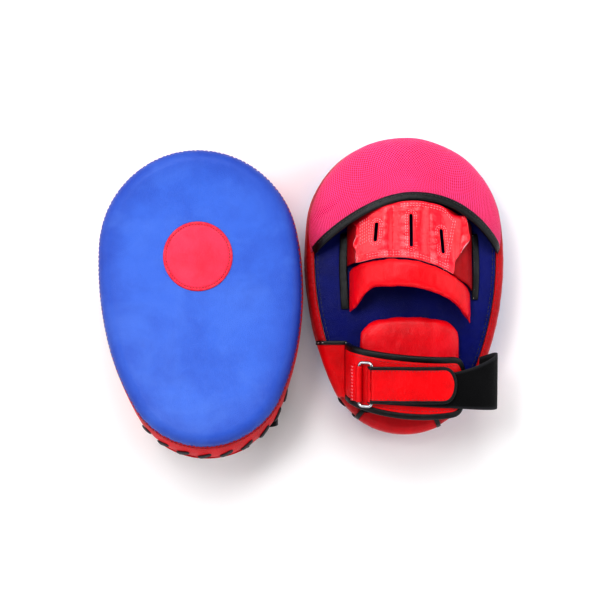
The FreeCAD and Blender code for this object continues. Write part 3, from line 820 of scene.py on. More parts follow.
dome_radius = 94.2
dome_height = 43.0
dome_sink = 5.0


def standing_at(y0):
    """Place on the back at y0: origin, direction up the mitt and direction off the back."""
    tilt = math.asin(y0 / (bow_radius + mitt_depth))
    along, off = (0.0, math.cos(tilt), -math.sin(tilt)), (0.0, math.sin(tilt), math.cos(tilt))
    return tuple(np.array(way) for way in ((0.0, y0, float(bowed(y0, mitt_depth))), along, off))


hood_at, hood_up, hood_off = standing_at(crown_arc[1])


def dome_point(turn, fall):
    """Point of the dome at a turn round it and a fall from its top, and its direction out."""
    radius, height = dome_radius, dome_height
    x, y = radius * math.sin(fall) * math.cos(turn), radius * math.sin(fall) * math.sin(turn)
    z = height * math.cos(fall) - dome_sink
    out = (np.array([x / radius ** 2, 0.0, 0.0]) + hood_up * (y / radius ** 2)
           + hood_off * ((z + dome_sink) / height ** 2))
    return hood_at + np.array([x, 0.0, 0.0]) + hood_up * y + hood_off * z, out / np.linalg.norm(out)


def depth_of(point):
    return math.hypot(point[1], point[2] + bow_radius) - bow_radius


def halved(low, high, short, times=50):
    """The place between two at which a test stops saying that a middle falls short."""
    for _ in range(times):
        middle = (low + high) / 2
        low, high = (middle, high) if short(middle) else (low, middle)
    return high


def fall_where(turn, test):
    """Fall at which a test of the dome's point starts to hold."""
    return halved(0.0, math.pi / 2 + 0.35, lambda fall: not test(dome_point(turn, fall)[0]), 36)


def mouth_edge(x):
    """The mouth droops more slowly toward the little finger than toward the thumb."""
    if x < 8.0:
        return 78.0 - 8.0 * ((8.0 - x) / 38.0) ** 1.9
    return 78.0 - 10.0 * ((x - 8.0) / 42.0) ** 2.3


def past_mouth(point):
    return point[1] > mouth_edge(point[0])


def at_back(point):
    """The mesh runs out over the round back edge, and goes under the side leather there."""
    past = math.hypot(point[0], point[1] - crown_arc[1]) - (crown_arc[2] - back_round)
    round_off = back_round - math.sqrt(max(0.0, back_round ** 2 - max(0.0, past) ** 2))
    return depth_of(point) < mitt_depth + 0.5 - round_off


def flat_area(shape):
    return float(sum(polygon.area for polygon in shape.data.polygons))


def cut_cloth(shape):
    """What a sheet is cut to: the reach of its cloth map, and its area, in metres."""
    area = flat_area(shape)
    chart = shape.data.uv_layers["cloth"].data
    spots = np.zeros(len(chart) * 2)
    chart.foreach_get("uv", spots)
    width, length = sorted(float(reach) for reach in spots.reshape(-1, 2).max(axis=0))
    return dict(flat=(width, max(length, area / width)), held="stretched", area=area)


hood_ends_y = 31.5
hood_turns = []
for turn in np.linspace(-0.30, math.pi + 0.30, 400):
    mouth = fall_where(turn, past_mouth)
    if mouth < fall_where(turn, at_back) - 0.004 and dome_point(turn, mouth)[0][1] > hood_ends_y:
        hood_turns.append(turn)
hood_turns = np.linspace(hood_turns[0], hood_turns[-1], 132)


def hood_dent(point):
    """How far the mesh dips below the dome: a crease by its left end, and slack by the mouth."""
    x, y = point[0], point[1]
    along = (x + 84) * 0.80 + (y - 62) * 0.60
    off = -(x + 84) * 0.60 + (y - 62) * 0.80
    crease = 1.5 * math.exp(-(off / 2.6) ** 2) * math.exp(-((along - 10) / 15) ** 2)
    ridge = -0.8 * math.exp(-((off - 6) / 4.0) ** 2) * math.exp(-((along - 10) / 16) ** 2)
    return crease + ridge + 0.55 * noise.noise(Vector((x / 24, y / 24, 1.0)))


hood_rows = []
# the mask rises where the mesh runs under the side leather: painted shade in that crevice
hood_tuck_shade = []
for share in np.linspace(0, 1, 46):
    row = []
    for turn in hood_turns:
        start, end = fall_where(turn, past_mouth), fall_where(turn, at_back)
        point, out = dome_point(turn, start + (end - start) * share)
        soft = min(1.0, 6 * share, 6 * (1 - share) + 0.1)
        row.append(point - out * (hood_dent(point) * soft + 0.3))
    hood_rows.append(row)
    hood_tuck_shade.append(max(0.0, share - 0.82) / 0.18 * 0.7)


def mesh_finish():
    """Sports mesh: staggered round holes between pale knitted ribs, over a deeper red."""
    material, tree, shader = new_material("sports mesh")
    chart = add_node(tree, "ShaderNodeUVMap", uv_map="cloth")
    turn = add_node(tree, "ShaderNodeMapping",
                    {"Rotation": (0, 0, math.radians(45)), "Scale": (520.0, 520.0, 520.0)})
    holes = texture(tree, turn.outputs[0], "Voronoi", {"Scale": 1.0, "Randomness": 0.0},
                    voronoi_dimensions="2D", feature="F1")
    rim = add_node(tree, "ShaderNodeMapRange",
                   {"From Min": 0.24, "From Max": 0.46}, interpolation_type="SMOOTHSTEP")
    yarn = texture(tree, in_object(tree), "Noise", {"Scale": 1900.0, "Detail": 3.0})
    slow = texture(tree, in_object(tree), "Noise", {"Scale": 22.0, "Detail": 4.0})
    scuffs_and_light_mask = add_node(tree, "ShaderNodeAttribute", attribute_name="scuffs_and_painted_light")
    link = tree.links.new
    link(chart.outputs[0], turn.inputs["Vector"])
    link(holes.outputs["Distance"], rim.inputs["Value"])
    rib = blended(tree, slow.outputs["Fac"], (1.0, 0.008, 0.17), (1.0, 0.050, 0.36))
    rib = blended(tree, math_node(tree, "MULTIPLY", yarn.outputs["Fac"], 0.5), rib, (1.0, 0.30, 0.56))
    cloth = blended(tree, rim.outputs[0], (0.66, 0.0, 0.030), rib)
    # painted shade: the mesh darkens where the mask is high, by its tucked edge
    cloth = blended(tree, math_node(tree, "MULTIPLY", scuffs_and_light_mask.outputs["Fac"], 0.5), cloth, (0.60, 0.0, 0.05))
    link(cloth, shader.inputs["Base Color"])
    high = math_node(tree, "ADD", rim.outputs[0], math_node(tree, "MULTIPLY", yarn.outputs["Fac"], 0.25))
    bumped(tree, shader, high, 0.0005)
    set_inputs(shader, Roughness=0.62, Specular_IOR_Level=0.2, Sheen_Weight=0.10, Sheen_Roughness=0.4)
    return material


sports_mesh = mesh_finish()
hood = surface("mesh_hood", hood_rows, scuffs_and_painted_light=hood_tuck_shade, flip=True)
hood.data.materials.append(sports_mesh)
hood_cut = cut_cloth(hood)
lay_down(skin_thickness(hood, 1.7), "hood_mesh", "mesh_fabric", ["mesh_hood"], cloth=hood_cut)


# ---- bound edge of the hood ----
# Black vinyl tape is folded over the hood's mouth and sewn through, so that it stands proud on
# both sides.  It ripples slightly where it goes round the curve.

def vinyl_finish(name, colour, lit, gloss, rib=0.00006):
    material, tree, shader = new_material(name)
    grain = add_node(tree, "ShaderNodeGroup", {"Cells per metre": 1400.0}, node_tree=leather_grain)
    marks = add_node(tree, "ShaderNodeGroup", {"Smudge size": 40.0}, node_tree=handling_marks)
    tone = blended(tree, marks.outputs["Smudge"], colour, lit)
    tree.links.new(blended(tree, marks.outputs["Scuff"], tone, lit), shader.inputs["Base Color"])
    rough = math_node(tree, "MULTIPLY_ADD", grain.outputs["Tone"], 0.2)
    rough.node.inputs[2].default_value = gloss
    tree.links.new(rough, shader.inputs["Roughness"])
    bumped(tree, shader, grain.outputs["Height"], rib)
    shader.inputs["Specular IOR Level"].default_value = 0.4
    return material


black_vinyl = vinyl_finish("black binding vinyl", (0.002, 0.002, 0.003), (0.022, 0.022, 0.028), 0.22)


def tape(name, path, ups, width, thickness, square, ripple=0.0):
    """Folded tape along a path: a flat rounded section, with small ripples and closed ends."""
    path, ups = np.array(path, float), np.array(ups, float)
    steps = np.gradient(path, axis=0)
    steps /= np.linalg.norm(steps, axis=1)[:, None]
    sides = np.cross(steps, ups)
    sides /= np.linalg.norm(sides, axis=1)[:, None]
    ups = np.cross(sides, steps)
    rows = []
    count = len(path)
    for i in range(count):
        end = min(1.0, 0.35 + 0.65 * min(i, count - 1 - i) / 1.5)
        wave = 1 + ripple * noise.noise(Vector((i * 0.9, 4.0, width)))
        row = []
        for turn in np.linspace(0, 2 * math.pi, 17)[:-1]:
            across = math.copysign(abs(math.cos(turn)) ** square, math.cos(turn)) * width / 2
            lift = math.copysign(abs(math.sin(turn)) ** square, math.sin(turn)) * thickness / 2 * wave * end
            row.append(path[i] + sides[i] * across * (0.9 + 0.1 * end) + ups[i] * lift)
        rows.append(row)
    made = surface(name, rows, closed=True, caps="first last")
    made.data.materials.append(black_vinyl)
    return outward(made)


mouth_path, mouth_ups = [], []
for turn in np.linspace(hood_turns[0], hood_turns[-1], 150):
    start = fall_where(turn, past_mouth)
    point, out = dome_point(turn, start)
    beyond, _ = dome_point(turn, start + 0.02)
    away = beyond - point
    away -= out * away.dot(out)
    mouth_path.append(point + away / np.linalg.norm(away) * 3.4 - out * 0.95)
    mouth_ups.append(out)
hood_tape = tape("hood_binding", mouth_path, mouth_ups, 8.2, 3.9, 0.6, ripple=0.12)
lay_down(hood_tape, "hood_edge_tape", "trim_tape", ["hood_binding"], fill=0.5)
stitch_line = [p + u * 1.95 + np.array([0, 1.5, 0]) * 1.0 for p, u in zip(mouth_path, mouth_ups)]
sewn("hood_binding_stitches", [stitch_line[2:-2]], black_thread, "trim_tape", 3.6, 2.6, 0.36)


# ---- finger stall ----
# Two upright walls of red leather stand on the back and carry the glove panel across the
# fingers.  Black tapes cover their feet, sewn down with white thread.

stall_x, stall_half, stall_height, stall_wall = 4.0, 61.0, 36.0, 2.2
wall_top = 18.0
floor_z = float(bowed(0.0, mitt_depth))
stall_top = ((-72.0, 37.0), (6.0, 77.0), (84.0, 33.0))
roll_upper = ((-66.0, 12.0), (-10.0, 23.0), (72.0, -15.0))
roll_lower = ((-66.0, -26.0), (-10.0, -7.5), (72.0, -47.0))


def arc_y(three, x):
    """Height at x of the arc through three points, on the side of the middle one."""
    (x1, y1), (x2, y2), (x3, y3) = three
    d = 2 * (x1 * (y2 - y3) + x2 * (y3 - y1) + x3 * (y1 - y2))
    s1, s2, s3 = x1 * x1 + y1 * y1, x2 * x2 + y2 * y2, x3 * x3 + y3 * y3
    cx = (s1 * (y2 - y3) + s2 * (y3 - y1) + s3 * (y1 - y2)) / d
    cy = (s1 * (x3 - x2) + s2 * (x1 - x3) + s3 * (x2 - x1)) / d
    rise = math.sqrt(max(0.0, (x1 - cx) ** 2 + (y1 - cy) ** 2 - (x - cx) ** 2))
    return cy + math.copysign(rise, y2 - cy)


glove_leather = leather("glove leather", (0.94, 0.006, 0.035), (1.0, 0.22, 0.34), (0.55, 0.0, 0.008),
                        gloss=0.24, coat=0.45, cells=620.0, relief=0.00010,
                        smudge=0.16, seed=17.0, shine=0.45)
# The walls take a darker copy of the red glove leather: painted shade for walls standing under the panel's
# edge.
shaded_wall_leather = leather("shaded stall wall leather", (0.50, 0.0, 0.006), (0.70, 0.03, 0.06), (0.20, 0.0, 0.002),
                       gloss=0.40, coat=0.05, cells=700.0, smudge=0.12, seed=15.0, shine=0.16)
walls = []
for sign in (-1, 1):
    rows = []
    foot = math.asin(1.0 / stall_height)
    top = math.asin((27.0 if sign < 0 else 29.0) / stall_height)
    for share in np.linspace(0, 1, 22):
        rise = foot + (top - foot) * share
        x = stall_x + sign * (stall_half - 0.2) * math.cos(rise)
        low, high = arc_y(roll_upper, x) + 0.8, arc_y(stall_top, x)
        row = []
        for along in np.linspace(0, 1, 26):
            y = low + (high - low) * along
            sag = 0.9 * math.sin(math.pi * share) * (0.6 + 0.4 * math.sin(along * 9.0))
            z = floor_z + stall_height * math.sin(rise)
            drop = float(bowed(y, mitt_depth)) - floor_z
            tuck = 2.9 / (1 + math.exp(-(stall_height * math.sin(rise) - wall_top - 1.0) / 0.9))
            row.append((x - sign * (stall_wall * 0.5 - sag + tuck * math.cos(rise)), y,
                        z + drop * (1 - share) - tuck * math.sin(rise)))
        rows.append(row)
    # the mask is high at each wall's foot: painted shade in the corner with the back, with scuffs
    wall = surface("wall", rows, flip=(sign > 0), scuffs_and_painted_light=np.linspace(0.8, 0.0, 22))
    wall.data.materials.append(shaded_wall_leather)
    walls.append(wall)
walls = joined(walls)
walls_cut = cut_cloth(walls)
lay_down(skin_thickness(walls, 1.7, offset=0.0), "stall_walls", "glove_leather", ["finger_stall"],
         cloth=walls_cut)

foot_tapes, foot_runs = [], []
for sign in (-1, 1):
    x = stall_x + sign * (stall_half + (2.0 if sign < 0 else 2.3))
    line = np.linspace(-25.0 if sign < 0 else -16.0, 48.0, 38)
    path = [(x + 1.2 * math.sin((y + 13) / 60 * math.pi) * sign, y,
             float(bowed(y, mitt_depth + 1.5))) for y in line]
    # real black tapes, cut wide enough to also take in the dark band of shade beside each wall's foot as
    # painted shade; the left one is widest
    foot_tapes.append(tape("foot", path, [(0.25 * sign, 0, 1)] * len(path), 8.2 if sign < 0 else 6.6, 2.6,
                           0.6, ripple=0.2))
    if sign > 0:
        foot_runs.append([(p[0] - 1.6, p[1], p[2] + 1.25) for p in path[1:-1]])
foot_tapes = joined(foot_tapes)
lay_down(foot_tapes, "stall_foot_tapes", "trim_tape", ["stall_tapes"])
sewn("stall_tape_stitches", foot_runs, white_thread, "trim_tape", 2.6, 1.3, 0.36)


# ---- glove panel ----
# A thick, glossy pink-red leather cover over the backs of the fingers.  The fingers press soft
# ridges into it; between them are three open slots in stitched frames.  Its side edges are cut
# raw, wave a little and show the pale core of the leather.

slots = ((-30.0, 47.0, 18.0), (3.0, 48.0, 31.0), (32.6, 38.0, 23.0))
slot_width = 3.2
folds = (-47.0, -14.0, 20.5, 50.0)


def glove_top(x):
    """Far edge of the panel: a shallow arc that rises again at the flap past the last finger."""
    edge = arc_y(stall_top, x) - 0.6
    dent = math.exp(-((x - 44.0) / 6.5) ** 2)
    return edge - 3.6 * dent + 2.4 / (1 + math.exp(-(x - 53.0) / 1.5))


def glove_low(x):
    """Near edge of the panel, which butts against the knuckle roll."""
    return arc_y(roll_upper, x) - 0.4


def glove_height(x, y):
    """Height of the panel: the arch of the stall with three finger swells pressed into it."""
    share = max(-0.999, min(0.999, (x - stall_x) / stall_half))
    arch = stall_height * math.sqrt(1 - share * share)
    top, low = glove_top(x), glove_low(x)
    along = min(1.0, max(0.0, (y - low) / max(1.0, top - low)))
    swell = 0.0
    for first, last in zip(folds, folds[1:]):
        if first < x < last:
            part = (x - first) / (last - first)
            swell = 4.6 * (math.sin(math.pi * part) ** 0.55) - 2.4
            swell += 0.9 * math.exp(-((part - 0.78) / 0.14) ** 2)
    swell = swell if folds[0] < x < folds[-1] else -2.4
    swell += 4.4 / (1 + math.exp(-(x - 49.0) / 1.4)) + 0.9 * max(0.0, x - 52.0)
    swell += 4.4 / (1 + math.exp((x + 44.0) / 1.4)) + 0.7 * max(0.0, -46.0 - x)
    tips = 0.50 + 0.50 * math.sin(math.pi * min(1.0, 0.12 + along * 0.95))
    wrinkle = (0.45 * noise.noise(Vector((x / 6.5, y / 19.0, 2.0)))
               + 0.40 * noise.noise(Vector((x / 13.0, y / 5.0, 6.0))))
    dip = 1.8 * max(0.0, (along - 0.90) / 0.10) ** 2 - 1.6 * max(0.0, (0.14 - along) / 0.14)
    return floor_z + arch + swell * tips + wrinkle - dip - 0.8


panel_rows = []
for share in np.linspace(0, 1, 82):
    row = []
    for across in np.linspace(0, 1, 84):
        wave_left = 1.5 * math.sin(share * 11.0) + 0.8 * math.sin(share * 23.0 + 1.0)
        wave_right = 2.1 * math.sin(share * 8.0 + 2.4) + 0.9 * math.sin(share * 21.0)
        left = -49.5 + wave_left * 0.8
        right = (42.5 + 16.5 * min(1.0, share / 0.72) ** 1.1 + wave_right * 0.6
                 - 2.5 * max(0.0, share - 0.86) / 0.14)
        x = left + (right - left) * across
        low, high = glove_low(x), glove_top(x)
        y = low + (high - low) * share
        edge = min(across, 1 - across)
        curl = 1.6 * max(0.0, 1 - edge / 0.06) ** 2 * (0.8 + 0.3 * math.sin(share * 14.0))
        curl += 2.4 * max(0.0, (across - 0.84) / 0.16) ** 2 * min(1.0, share / 0.6)
        row.append((x, y, glove_height(x, y) + curl))
    panel_rows.append(row)
glove = surface("glove_panel", panel_rows)
raw_edge = leather("raw leather edge", (0.95, 0.50, 0.56), (1.0, 0.78, 0.80), (0.70, 0.16, 0.22),
                   gloss=0.8, coat=0.0, smudge=0.3)
glove.data.materials.append(glove_leather)
glove.data.materials.append(raw_edge)
glove_cut = cut_cloth(glove)
skin_thickness(glove, 1.8, rim_material=1)


def slot_outline(x, y, length, out, count):
    """Points round a slot, a distance out from its edge.  The outer slots lean to the middle."""
    points = []
    for turn in np.linspace(0, 2 * math.pi, count + 1)[:-1]:
        reach = slot_width / 2 + out
        off = reach * math.sin(turn) + math.copysign(length / 2 - slot_width / 2, math.sin(turn))
        points.append((x + reach * math.cos(turn) - 0.05 * x * off / 18, y + off))
    return points


cutters = []
for slot in slots:
    rows = [[(x, y, z) for x, y in slot_outline(*slot, 0.0, 24)] for z in (10.0, 110.0)]
    cutters.append(outward(surface("cutter", rows, closed=True, caps="first last")))
cutter = joined(cutters)
with_modifiers(glove, ("BOOLEAN", {"operation": "DIFFERENCE", "solver": "EXACT", "object": cutter}))
bpy.data.objects.remove(cutter)
lay_down(glove, "glove_cover", "glove_leather", ["glove_panel"], cloth=glove_cut)


def on_glove(points, lift=0.15):
    return [(x, y, glove_height(x, y) + lift) for x, y in points]


frames = [on_glove(slot_outline(*slot, out, 40), 0.1) for slot in slots for out in (1.9, 3.6)]
sewn("slot_stitches", frames, rose_thread, "glove_leather", 2.6, 1.9, 0.36, closed=True)
rows = []
for inset in (2.6, 5.0):
    corner = 48.5 - inset
    rows.append(on_glove([(x, glove_top(min(x, 36.0)) - inset - max(0.0, x - 36.0) * 1.05)
                          for x in np.linspace(-6, corner, 60)]))
    top_y = rows[-1][-1][1]
    rows.append(on_glove([(corner - 9.5 * share, top_y + (glove_low(38.0) + 1.0 - top_y) * share)
                          for share in np.linspace(0, 1, 44)]))
    rows.append(on_glove([(x, glove_low(x) + inset) for x in np.linspace(-38, 38, 70)]))
sewn("glove_stitches", rows, rose_thread, "glove_leather", 2.9, 2.2, 0.38)
block = []
for k in range(5):
    low = 36.0 + k * 1.0
    block.append(on_glove([(-44.6 + k * 2.0, y) for y in np.linspace(low, low + 21, 22)]))
sewn("glove_side_stitches", block, rose_thread, "glove_leather", 2.9, 2.1, 0.38)


# ---- knuckle roll ----
# A firm padded arch of red leather stands behind the fingers for the palm to grip.  It is sewn
# as a tube, stuffed with foam, and swells a little between the seams at its ends.

def block_form(name, place, counts):
    """Closed block whose points are placed by three numbers from -1 to 1."""
    work = bmesh.new()
    found = {}

    def corner(*key):
        if key not in found:
            u, v, w = (2 * k / n - 1 for k, n in zip(key, counts))
            found[key] = work.verts.new(Vector(place(u, v, w)) * MM)
        return found[key]

    a, b, c = counts
    for i in range(a):
        for j in range(b):
            for k, order in ((0, -1), (c, 1)):
                quad = [corner(i, j, k), corner(i + 1, j, k), corner(i + 1, j + 1, k), corner(i, j + 1, k)]
                work.faces.new(quad[::order])
    for i in range(a):
        for k in range(c):
            for j, order in ((0, 1), (b, -1)):
                quad = [corner(i, j, k), corner(i + 1, j, k), corner(i + 1, j, k + 1), corner(i, j, k + 1)]
                work.faces.new(quad[::order])
    for j in range(b):
        for k in range(c):
            for i, order in ((0, -1), (a, 1)):
                quad = [corner(i, j, k), corner(i, j + 1, k), corner(i, j + 1, k + 1), corner(i, j, k + 1)]
                work.faces.new(quad[::order])
    bmesh.ops.recalc_face_normals(work, faces=work.faces)
    shape = bpy.data.meshes.new(name)
    work.to_mesh(shape)
    work.free()
    return put(name, shape)


def points_of(mesh):
    flat = np.zeros(len(mesh.vertices) * 3)
    mesh.vertices.foreach_get("co", flat)
    return flat.reshape(-1, 3)


def stuffed(shape, voxel, cap):
    """Fills a closed skin until it is taut; no point moves past the cap, in millimetres."""
    with_modifiers(shape, ("SUBSURF", {"levels": 1, "render_levels": 1}),
                   ("REMESH", {"mode": "VOXEL", "voxel_size": voxel * MM}))
    rest = points_of(shape.data)
    cloth = shape.modifiers.new("filling", "CLOTH")
    cloth.settings.use_pressure = True
    cloth.settings.uniform_pressure_force = 4.0
    cloth.settings.effector_weights.gravity = 0.0
    cloth.point_cache.frame_start = 1
    cloth.point_cache.frame_end = 20
    for tick in range(1, 21):
        scene.frame_set(tick)
    full = worked_mesh(shape)
    moved = points_of(full) - rest
    limit = np.array(cap) * MM
    moved = limit * np.tanh(moved / limit)
    shape.modifiers.clear()
    shape.data.vertices.foreach_set("co", (rest + moved).ravel())
    bpy.data.meshes.remove(full)
    scene.frame_set(1)
    return with_modifiers(shape, ("SMOOTH", {"factor": 0.5, "iterations": 4}),
                          ("SUBSURF", {"levels": 1, "render_levels": 1}))


def creased(shape, depth):
    """Presses the shallow creases of worn leather into a shape, along its own directions."""
    mesh = shape.data
    normals = np.zeros(len(mesh.vertices) * 3)
    mesh.vertices.foreach_get("normal", normals)
    normals = normals.reshape(-1, 3)
    points = points_of(mesh)
    for i, point in enumerate(points):
        p = Vector(point / MM)
        fold = noise.noise(Vector((p.x / 9.0, p.y / 22.0, p.z / 14.0)))
        fine = noise.noise(Vector((p.x / 4.0, p.y / 7.0, p.z / 6.0)))
        points[i] -= normals[i] * depth * MM * (0.65 * abs(fold) * 2 + 0.35 * fine)
    mesh.vertices.foreach_set("co", points.ravel())
    mesh.update()
    return shape


roll_leather = leather("knuckle roll leather", (0.84, 0.001, 0.014), (1.0, 0.09, 0.17), (0.42, 0.0, 0.004),
                       gloss=0.32, coat=0.16, cells=700.0, smudge=0.14, seed=21.0, shine=0.26)
roll_out, roll_in = (60.0, 46.0), (46.0, 31.0)


def roll_place(u, v, w):
    turn = math.pi * (0.5 - 0.5 * u)
    turn = 0.02 + (math.pi - 0.04) * turn / math.pi
    share = 0.5 + 0.5 * w
    wide = roll_in[0] + 1.3 + (roll_out[0] - roll_in[0] - 2.6) * share
    tall = roll_in[1] + 1.3 + (roll_out[1] - roll_in[1] - 2.6) * share
    x = stall_x + wide * math.cos(turn)
    leg = 13.0 * max(0.0, (-35.5 - x) / 14.5) ** 1.1 + 7.0 * max(0.0, (x - 46.0) / 14.0) ** 1.6
    leg -= 3.2 * math.exp(-((x + 33.0) / 9.0) ** 2)
    low, high = arc_y(roll_lower, x) + 1.3 - leg, arc_y(roll_upper, x) - 1.1
    middle, half = (low + high) / 2, (high - low) / 2
    y = middle + half * v * (1 - 0.07 * w * w)
    z = floor_z + 0.8 + (tall - 0.6) * math.sin(turn)
    return x, y, z + (float(bowed(y, mitt_depth)) - floor_z) * (1 - math.sin(turn))


roll = stuffed(block_form("knuckle_roll", roll_place, (34, 8, 3)), 3.6, (2.2, 1.2, 2.6))
creased(roll, 0.5)
roll.data.materials.append(roll_leather)
lay_down(roll, "padded_knuckle_roll", "glove_leather", ["knuckle_roll_cover", "knuckle_roll_foam"],
         fill=0.8)


# ---- wrist pad ----
# A soft square cushion of the same red leather lies under the cuff and takes the wrist.  It is
# sewn to the back all round, so it is fullest in the middle and drawn in at its edge.

pad_x, pad_y, pad_height = (-47.0, 54.0), (-100.0, -33.5), 15.0


def pad_place(u, v, w):
    round_off = max(abs(u), abs(v)) / max(1e-6, (abs(u) ** 5 + abs(v) ** 5) ** 0.2)
    drawn = round_off * (1 - 0.04 * w * w)
    x = (pad_x[0] + pad_x[1]) / 2 + (pad_x[1] - pad_x[0] - 2.6) / 2 * u * drawn
    y = (pad_y[0] + pad_y[1]) / 2 + (pad_y[1] - pad_y[0] - 2.0) / 2 * v * drawn
    y += 3.2 * (1 - u * u) * max(0.0, v) - 1.5 * u * u * max(0.0, v)
    edge = max(abs(u), abs(v)) ** 5
    top = pad_height - 1.6 - 4.0 * edge
    z = float(bowed(y, mitt_depth + 0.9 + (top - 0.9) * (0.5 + 0.5 * w)))
    return x, y, z


pad = stuffed(block_form("wrist_pad", pad_place, (26, 18, 4)), 3.6, (1.3, 1.3, 1.6))
creased(pad, 0.6)
pad.data.materials.append(roll_leather)
lay_down(pad, "padded_wrist_pad", "glove_leather", ["wrist_pad_cover", "wrist_pad_foam"], fill=0.7)


# ---- wrist cuff ----
# A curved band of padded red leather goes over the wrist from the mitt's outer side.  It is
# lined with black cloth, and its top, free end and lower edge are bound with black tape.

wrist_y = -92.0
cuff_line = ((-58.0, -4.0), (-57.0, 18.0), (-50.0, 34.0), (-34.0, 43.0), (-8.0, 47.0),
             (22.0, 47.5), (45.0, 42.5), (58.0, 31.0))
cuff_top = ((-62.0, 35.5), (-4.0, 27.0), (50.0, 25.0))
cuff_bottom = ((-62.0, -18.0), (-4.0, -32.0), (50.0, -30.0))
cuff_end = {"right": 57.0, "left": 50.0}
cuff_deep = 4.75
wrist_at, wrist_up, wrist_off = standing_at(wrist_y)


def at_wrist(x, y, z):
    """Point of the mitt for a point of the wrist's own frame."""
    return wrist_at + np.array([x, 0.0, 0.0]) + wrist_up * y + wrist_off * z


class Flow:
    """Smooth line through points of the wrist's upright plane, with its outward side."""

    def __init__(self, points):
        points = np.array(points, float)
        knots = np.concatenate([[0.0], np.cumsum(np.linalg.norm(np.diff(points, axis=0), axis=1))])
        count = len(points)
        slopes = np.zeros((count, count))
        sides = np.zeros((count, 2))
        steps = np.diff(knots)
        rises = np.diff(points, axis=0) / steps[:, None]
        for i in range(1, count - 1):
            slopes[i, i - 1:i + 2] = steps[i], 2 * (steps[i - 1] + steps[i]), steps[i - 1]
            sides[i] = 3 * (steps[i] * rises[i - 1] + steps[i - 1] * rises[i])
        for end, use in ((0, slice(0, 4)), (count - 1, slice(count - 4, count))):
            near = knots[use] - knots[end]
            slopes[end, end] = 1.0
            sides[end] = np.linalg.solve(np.vander(near, 4, increasing=True), points[use])[1]
        self.points, self.knots, self.steps = points, knots, steps
        self.slopes = np.linalg.solve(slopes, sides)
        self.length = knots[-1]

    def at(self, run, off=0.0):
        i = int(np.clip(np.searchsorted(self.knots, run) - 1, 0, len(self.steps) - 1))
        h, t = self.steps[i], (run - self.knots[i]) / self.steps[i]
        p, q, m, n = self.points[i], self.points[i + 1], self.slopes[i] * h, self.slopes[i + 1] * h
        spot = ((2 * t ** 3 - 3 * t ** 2 + 1) * p + (t ** 3 - 2 * t ** 2 + t) * m
                + (3 * t ** 2 - 2 * t ** 3) * q + (t ** 3 - t ** 2) * n)
        way = ((6 * t ** 2 - 6 * t) * p + (3 * t ** 2 - 4 * t + 1) * m
               + (6 * t - 6 * t ** 2) * q + (3 * t ** 2 - 2 * t) * n)
        way = way / np.linalg.norm(way)
        return spot + np.array([-way[1], way[0]]) * off, way

    def run_at(self, x):
        return halved(0.05 * self.length, self.length, lambda run: self.at(run)[0][0] < x)


cuff_flow = Flow(cuff_line)


def cuff_limits(x, end, inset):
    """Lower and upper edge of the cuff at x, a distance in from its outline."""
    corner = end - 7.0
    top = cuff_top[:2] + ((corner, cuff_top[2][1]),)
    bottom = cuff_bottom[:2] + ((corner, cuff_bottom[2][1]),)
    x = min(x, corner)
    return arc_y(bottom, x) + inset, arc_y(top, x) - inset


def cuff_spot(along, across, end, inset, off):
    """Point of the cuff: along from its foot to its free end, across from its lower edge."""
    first = cuff_foot
    bulge = end - inset - 7.0 * (2 * across - 1) ** 2
    last = cuff_flow.run_at(min(bulge, 57.8))
    run = first + (last - first) * along
    spot, way = cuff_flow.at(run, off)
    middle, _ = cuff_flow.at(run)
    low, high = cuff_limits(middle[0], end, inset)
    return at_wrist(spot[0], low + (high - low) * across, spot[1]), at_wrist(-way[1], 0, way[0]) - wrist_at


cuff_foot = 0.0
while cuff_flow.at(cuff_foot)[0][1] < 1.2:
    cuff_foot += 0.2

lining_cloth = vinyl_finish("black lining cloth", (0.010, 0.010, 0.013), (0.03, 0.03, 0.036), 0.75, 0.0002)
cuff_leather = leather("cuff leather", (0.76, 0.0, 0.006), (0.98, 0.05, 0.10), (0.36, 0.0, 0.002),
                       gloss=0.30, coat=0.14, cells=720.0, smudge=0.12, seed=27.0, shine=0.22)


